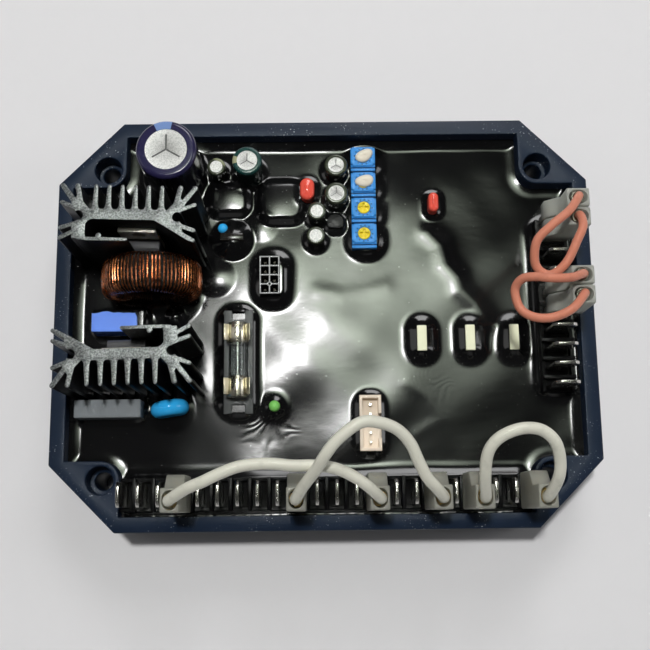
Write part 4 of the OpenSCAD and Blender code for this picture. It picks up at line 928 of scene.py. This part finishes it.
class REGULATOR_OT_ring(Builder, bpy.types.Operator):
    """Wind the ring: one wire carried round the core's section"""

    bl_idname = "regulator.ring"
    bl_label = "Ring"

    def build(self):
        dress("ring_core", plastic("core_coating", display(8, 7, 6), 0.8))
        lo, hi = (np.array(c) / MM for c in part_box("ring_core"))
        centre = (lo + hi) / 2
        outer = (hi[0] - lo[0]) / 2
        wide = hi[1] - lo[1]
        section = 5.8
        wire = sizes().wire / MM
        middle = outer - section / 2
        flat = (wide - section) / 2
        reach = section / 2 + 0.03 + wire / 2
        turns = sizes().turns
        per_turn = 40
        t = np.linspace(0, 1, turns * per_turn + 1)
        loose = 0.03 * np.sin(t * turns * 1.7) + 0.02 * np.sin(t * turns * 4.1 + 1.0)
        start = math.radians(-82)
        sweep = math.radians(344)
        around = start + sweep * (t + loose / turns * 2.0)
        phase = 2 * math.pi * turns * t
        radial = middle + reach * np.cos(phase)
        side = reach * np.sin(phase)
        side = side + flat * np.clip(np.sin(phase) * 2.2, -1, 1)
        path = centre + np.stack([radial * np.cos(around), side, radial * np.sin(around)], -1)
        points, faces = tube(path, wire / 2, 8)
        add_piece("ring_wire", points, faces, self.enamel(), "ring_winding")

    def enamel(self):
        """Enamelled copper: orange metal under clear lacquer, darker where it is stained, and near black low
        down as painted shade.
        """
        shade = tuple(colours().copper)
        lacquer = {"Metallic": 1.0, "Coat Roughness": 0.12, "Coat IOR": 1.5}
        f = Finish("enamelled_copper", shade, 0.26, lacquer)
        patch = f.noise(1.4, 3.0)
        lo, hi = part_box("ring_core")
        # Painted shade: towards the bottom of the core the wire fades to near black, fully so below three
        # tenths of its height.
        high = f.band(f.axis("Z"), lo[2] + 0.3 * (hi[2] - lo[2]), lo[2] + 0.8 * (hi[2] - lo[2]))
        bright = f.blend(f.band(patch, 0.35, 0.7), tint(shade, 0.6), tint(shade, 1.2))
        f.set("Base Color", f.blend(high, tint(shade, 0.12), bright))
        f.set("Coat Weight", 0.4 + 0.3 * patch)
        f.set("Roughness", 0.2 + 0.14 * patch)
        return f.material


class REGULATOR_OT_fuse(Builder, bpy.types.Operator):
    """Dress the fuse and its holder"""

    bl_idname = "regulator.fuse"
    bl_label = "Fuse"

    def build(self):
        holder = plastic("holder_plastic", display(80, 82, 82), 0.42, depth=0.02, cloud=0.3)
        dress("fuse_base", holder, rounding=0.2)
        dress("fuse_clips", metal("plated_clip", display(250, 240, 212), 0.36, (1, 0.2, 1)), rounding=0.05)
        glass = Finish("fuse_tube", (0.93, 0.97, 0.96), 0.03, {"Transmission Weight": 1.0, "IOR": 1.48})
        smear = glass.noise(1.5, 3.0)
        glass.set("Roughness", 0.02 + 0.05 * smear)
        dress("fuse_glass", glass.material)
        dress("fuse_caps", metal("nickel_cap", display(232, 226, 208), 0.28, (1, 0.2, 1)), rounding=0.06)
        dress("fuse_wire", metal("fuse_link", display(200, 198, 190), 0.3))


# Capacitors

def wrapped_film(name, centre, top, dark, printed_band_and_highlight, turn, half):
    """Shrunk film round a can: a coloured rim that is lighter over one angle, partly a printed band and
    partly painted highlight, and painted shade that makes the film nearly black below the rim.
    """
    f = Finish(name, dark, 0.2, {"Coat Weight": 0.4, "Coat Roughness": 0.08})
    x = f.axis("X") - centre[0] * MM
    y = f.axis("Y") - centre[1] * MM
    side = x * math.cos(turn) + y * math.sin(turn)
    ahead = y * math.cos(turn) - x * math.sin(turn)
    away = f.apply("ABSOLUTE", f.apply("ARCTAN2", side, ahead))
    fine = f.noise(0.6, 2.0)
    # Partly printed band, partly painted highlight: the rim takes a lighter colour over one angle.
    highlight_and_band_mask = f.band(away, half, half * 0.93)
    # Painted shade: below the rim the film darkens to about a fifth of its colour.
    ring = f.band(f.axis("Z"), top - 3.0 * MM, top - 0.7 * MM)
    shade = f.blend(fine, tint(dark, 0.8), tint(dark, 1.25))
    f.set("Base Color", f.blend(ring, tint(dark, 0.22), f.blend(highlight_and_band_mask, shade, printed_band_and_highlight)))
    f.set("Roughness", 0.14 + 0.14 * fine)
    f.bump(fine, 0.02, 0.6)
    return f.material


class REGULATOR_OT_electrolytics(Builder, bpy.types.Operator):
    """Dress the round capacitors"""

    bl_idname = "regulator.electrolytics"
    bl_label = "Electrolytics"

    def build(self):
        for node in ("main_capacitor", "medium_capacitor", "small_capacitors"):
            dress(node, self.can_metal(node))
        # Each film: node, dark colour, lighter colour over one angle (partly printed band, partly painted
        # highlight), that angle and its half width.
        films = [("main_capacitor_film", display(36, 33, 66), display(118, 146, 198), 0.12, 0.34),
                 ("medium_capacitor_film", display(22, 60, 57), display(160, 160, 126), 1.5, 0.3),
                 ("small_capacitor_films", display(52, 57, 44), display(140, 146, 112), 0.5, 0.5)]
        for node, dark, printed_band_and_highlight, turn, half in films:
            lo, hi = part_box(node)
            dress(node, wrapped_film(node, (lo + hi) / 2 / MM, hi[2], dark, printed_band_and_highlight, turn, half))

    def can_metal(self, node):
        """Drawn aluminium can: frosted top, with painted shade that darkens the grooves of its scored vent
        and all else below its top face.
        """
        f = Finish("aluminium_" + node, display(222, 222, 218), 0.42, {"Metallic": 0.2})
        frost = f.noise(0.35, 4.0)
        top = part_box(node)[1][2]
        # Painted shade: all more than about 0.1 mm under the top face turns mid grey.
        vent_groove_shade = f.band(f.axis("Z"), top - 0.06 * MM, top - 0.18 * MM)
        plain = f.blend(f.band(frost, 0.3, 0.7), display(204, 206, 202), display(246, 246, 243))
        f.set("Base Color", f.blend(vent_groove_shade, plain, display(120, 121, 120)))
        f.set("Roughness", 0.4 + 0.2 * frost)
        f.bump(frost, 0.012)
        return f.material


class REGULATOR_OT_boxes(Builder, bpy.types.Operator):
    """Make the box and dipped capacitors and dress the disc and the smallest parts"""

    bl_idname = "regulator.boxes"
    bl_label = "Small parts"

    def build(self):
        red = plastic("red_dip", tuple(colours().red), 0.22, grain=0.5, depth=0.02,
                      constants={"Coat Weight": 0.5})
        pale = plastic("pale_box", display(240, 243, 208), 0.36, grain=0.3, depth=0.01)
        grey = plastic("grey_box", display(122, 127, 131), 0.5, grain=0.2, depth=0.03, cloud=0.1)
        blocks = [("red_dipped", "red_capacitors", None, 1.0, 0.4, red),
                  ("pale_boxes", "pale_box_capacitors", 0.25, 0.2, 0.0, pale),
                  ("blue_block", "blue_box_capacitor", 0.5, 0.35, 0.0, self.edge_banded_blue()),
                  ("grey_block", "grey_box_capacitor", 0.4, 0.3, 0.0, grey)]
        for name, node, corner, edge, crown, material in blocks:
            made = joined([pillow(box, corner, edge, crown) for box in solids(node)])
            add_piece(name, *made, material, node)
        disc = plastic("disc_dip", tuple(colours().disc), 0.2, grain=0.6, depth=0.02, cloud=0.06)
        dress("disc_capacitor", disc)
        dress("bead_capacitor", disc)
        flat = plastic("flat_mould", display(30, 27, 24), 0.16, grain=0.2, depth=0.01)
        dress("flat_part", flat, rounding=0.25)
        small = plastic("small_mould", display(24, 24, 25), 0.4, grain=0.2, depth=0.015)
        dress("small_transistor", small, rounding=0.15)
        dress("lead_wires", metal("tinned_wire", display(206, 205, 200), 0.3))
        lamp = Finish("lamp_lens", display(96, 176, 76), 0.22, {"IOR": 1.3})
        cloud = lamp.noise(0.8, 2.0)
        lamp.set("Base Color", lamp.blend(cloud, display(104, 190, 82), display(150, 216, 120)))
        lamp.set("Roughness", 0.36 + 0.2 * cloud)
        dress("indicator_lamp", lamp.material)

    def edge_banded_blue(self):
        """Blue box moulding, with a wavy band along its back and right edges in the resin's colour and a
        higher gloss.
        """
        shade = tuple(colours().blue_box)
        f = Finish("blue_box", shade, 0.34)
        lo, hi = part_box("blue_box_capacitor")
        wave = f.noise(4.2, 1.0)
        clouds = f.noise(6.0, 3.0)
        # A wavy band along the back and right edges takes the resin's colour and a lower roughness.
        back = f.band(f.axis("Y") + 2.6 * MM * wave, hi[1] + 0.75 * MM, hi[1] + 0.95 * MM)
        right = f.band(f.axis("X") + 3.0 * MM * wave, hi[0] - 0.5 * MM, hi[0] - 0.2 * MM)
        film = f.apply("MAXIMUM", back, right)
        plain = f.blend(clouds, tint(shade, 0.94), tint(shade, 1.06))
        f.set("Base Color", f.blend(film, plain, tuple(colours().resin)))
        f.set("Roughness", 0.34 - 0.22 * film)
        f.bump(f.noise(0.5, 3.0), 0.012)
        return f.material


# Trimmers and plugs

# Ticks round each rotor, and the radii in millimetres of their ring and of the rotor's dark edge
TRIMMER_TICKS = 12
TICK_RING = (2.05, 2.5)
EDGE_RING = (1.75, 1.92)
# The dark seams of a trimmer, as shares of its pitch: one between the first two, one up to the third
SEAMS = (0.135, 0.165, 0.03)
# Half sizes and height of a drop of sealing compound, and its shift from the trimmer's middle
DROP_HALF = (2.45, 1.8)
DROP_HEIGHT = 1.05
DROP_SHIFT = (0.35, 0.95, 0)


class REGULATOR_OT_trimmers(Builder, bpy.types.Operator):
    """Dress the trimmers and make the drops of sealing compound"""

    bl_idname = "regulator.trimmers"
    bl_label = "Trimmers"

    def build(self):
        dress("trimmer_bodies", self.ribbed_blue(), rounding=0.1)
        yellow = plastic("rotor_mould", tuple(colours().rotor), 0.38, grain=0.25, depth=0.012)
        for node in ("trimmer_rotor_1", "trimmer_rotor_2", "sealed_rotors"):
            dress(node, yellow, rounding=0.05)
        cream = plastic("sealing_compound", display(234, 226, 208), 0.4, grain=0.8, depth=0.03, cloud=0.06)
        bodies = sorted(solids("trimmer_bodies"), key=lambda b: -b[0][1])[:2]
        drops = [self.drop((b[0] + b[1]) / 2 + DROP_SHIFT, b[1][2], k) for k, b in enumerate(bodies)]
        add_piece("sealant_drops", *joined(drops), cream, "rotor_sealant")

    def ribbed_blue(self):
        """Blue moulding: each body has two dark seams at its front and a ring of ticks round its rotor."""
        shade = tuple(colours().trimmer)
        f = Finish("trimmer_mould", shade, 0.34)
        starts = sorted(b[0][1] for b in solids("trimmer_bodies"))
        pitch = (starts[1] - starts[0]) * MM
        lo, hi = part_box("trimmer_rotor_1")
        centre = (lo + hi) / 2
        share = f.apply("FRACT", (f.axis("Y") - starts[0] * MM) / pitch)
        rotor = ((centre[1] - starts[0] * MM) / pitch) % 1.0
        x = (f.axis("X") - centre[0]) / MM
        y = (share - rotor) * (pitch / MM)
        away = f.apply("SQRT", x * x + y * y)
        angle = f.apply("ARCTAN2", y, x)
        teeth = f.apply("FRACT", angle * (TRIMMER_TICKS / (2 * math.pi)) + TRIMMER_TICKS)
        ticks = f.band(teeth, 0.6, 0.7) * (away > TICK_RING[0]) * (away < TICK_RING[1])
        ring = (away > EDGE_RING[0]) * (away < EDGE_RING[1])
        seams = (share > SEAMS[0]) * (share < SEAMS[1]) + (share < SEAMS[2])
        dark = f.apply("MAXIMUM", ticks * 0.75 + ring * 0.45, seams * 0.9)
        clouds = f.noise(2.0, 3.0)
        fine = f.noise(0.3, 3.0)
        plain = f.blend(clouds, tint(shade, 0.86), tint(shade, 1.1))
        f.set("Base Color", f.blend(dark, plain, tint(shade, 0.22)))
        f.set("Roughness", 0.28 + 0.14 * fine)
        f.bump(fine + dark * -3.0, 0.03)
        return f.material

    def drop(self, centre, level, seed):
        """A flat drop on a turned ellipse: radius (1 + small waves) cos v, height h sin(v)^0.8."""
        a = np.linspace(0, 2 * math.pi, 40, endpoint=False)[None, :]
        v = np.linspace(0, math.pi / 2, 12)[:, None]
        wave = 1 + 0.06 * np.sin(2 * a + 1.1 + seed) + 0.05 * np.sin(3 * a + 0.4 - seed)
        across = DROP_HALF[0] * wave * np.cos(v) * np.cos(a)
        along = DROP_HALF[1] * wave * np.cos(v) * np.sin(a)
        lean = math.radians(24 - 10 * seed)
        x = across * math.cos(lean) - along * math.sin(lean)
        y = across * math.sin(lean) + along * math.cos(lean)
        z = DROP_HEIGHT * np.sin(v) ** 0.8 * (1 + 0.1 * np.cos(a - 0.8)) + 0.02
        ring = np.stack([centre[0] + x, centre[1] + y, level + np.broadcast_to(z, x.shape)], -1)
        foot = ring[:1] * [0, 0, 1] + [centre[0], centre[1], 0]
        points = np.concatenate([foot, ring])
        return points, grid_faces(points.shape[0], points.shape[1], wrap_columns=True)


class REGULATOR_OT_plugs(Builder, bpy.types.Operator):
    """Dress the header and the socket"""

    bl_idname = "regulator.plugs"
    bl_label = "Header and socket"

    def build(self):
        f = Finish("header_plastic", display(20, 20, 21), 0.36)
        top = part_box("header_housing")[1][2]
        # Painted highlight: the top 0.3 mm of the housing's walls turns light grey over its near-black
        # plastic.
        top_highlight = f.band(f.axis("Z"), top - 0.3 * MM, top - 0.05 * MM)
        fine = f.noise(0.3, 2.0)
        highlight_grey = f.blend(fine, display(150, 152, 152), display(186, 188, 188))
        f.set("Base Color", f.blend(top_highlight, display(18, 18, 19), highlight_grey))
        f.set("Roughness", 0.3 + 0.2 * fine)
        dress("header_housing", f.material, rounding=0.06)
        dress("header_contacts", metal("dull_contact", display(52, 50, 46), 0.45))
        ivory = plastic("socket_plastic", display(228, 213, 194), 0.42, grain=0.3, depth=0.012, cloud=0.08)
        dress("socket_shroud", ivory, rounding=0.1)
        dress("socket_pins", metal("tinned_pin", display(214, 212, 206), 0.24))


STEPS = ("stage", "tray", "leads", "resin", "terminals", "sleeves", "heatsinks", "ring", "fuse",
         "electrolytics", "boxes", "trimmers", "plugs")


class REGULATOR_PT_panel(bpy.types.Panel):
    """Lists the steps and the sizes and colours that they use."""

    bl_idname = "REGULATOR_PT_panel"
    bl_label = "Regulator"
    bl_space_type = "VIEW_3D"
    bl_region_type = "UI"
    bl_category = "Regulator"

    def draw(self, context):
        for step in STEPS:
            self.layout.operator("regulator." + step)
        for group in (context.scene.regulator_sizes, context.scene.regulator_colours):
            for name in group.__annotations__:
                self.layout.prop(group, name)


CLASSES = (RegulatorSizes, RegulatorColours, REGULATOR_OT_stage, REGULATOR_OT_tray, REGULATOR_OT_leads,
           REGULATOR_OT_resin, REGULATOR_OT_terminals, REGULATOR_OT_sleeves, REGULATOR_OT_heatsinks,
           REGULATOR_OT_ring, REGULATOR_OT_fuse, REGULATOR_OT_electrolytics, REGULATOR_OT_boxes,
           REGULATOR_OT_trimmers, REGULATOR_OT_plugs, REGULATOR_PT_panel)


def register():
    for item in CLASSES:
        bpy.utils.register_class(item)
    bpy.types.Scene.regulator_sizes = PointerProperty(type=RegulatorSizes)
    bpy.types.Scene.regulator_colours = PointerProperty(type=RegulatorColours)


def unregister():
    del bpy.types.Scene.regulator_colours
    del bpy.types.Scene.regulator_sizes
    for item in reversed(CLASSES):
        bpy.utils.unregister_class(item)


def main():
    register()
    for step in STEPS:
        getattr(bpy.ops.regulator, step)()


if __name__ == "__main__":
    main()
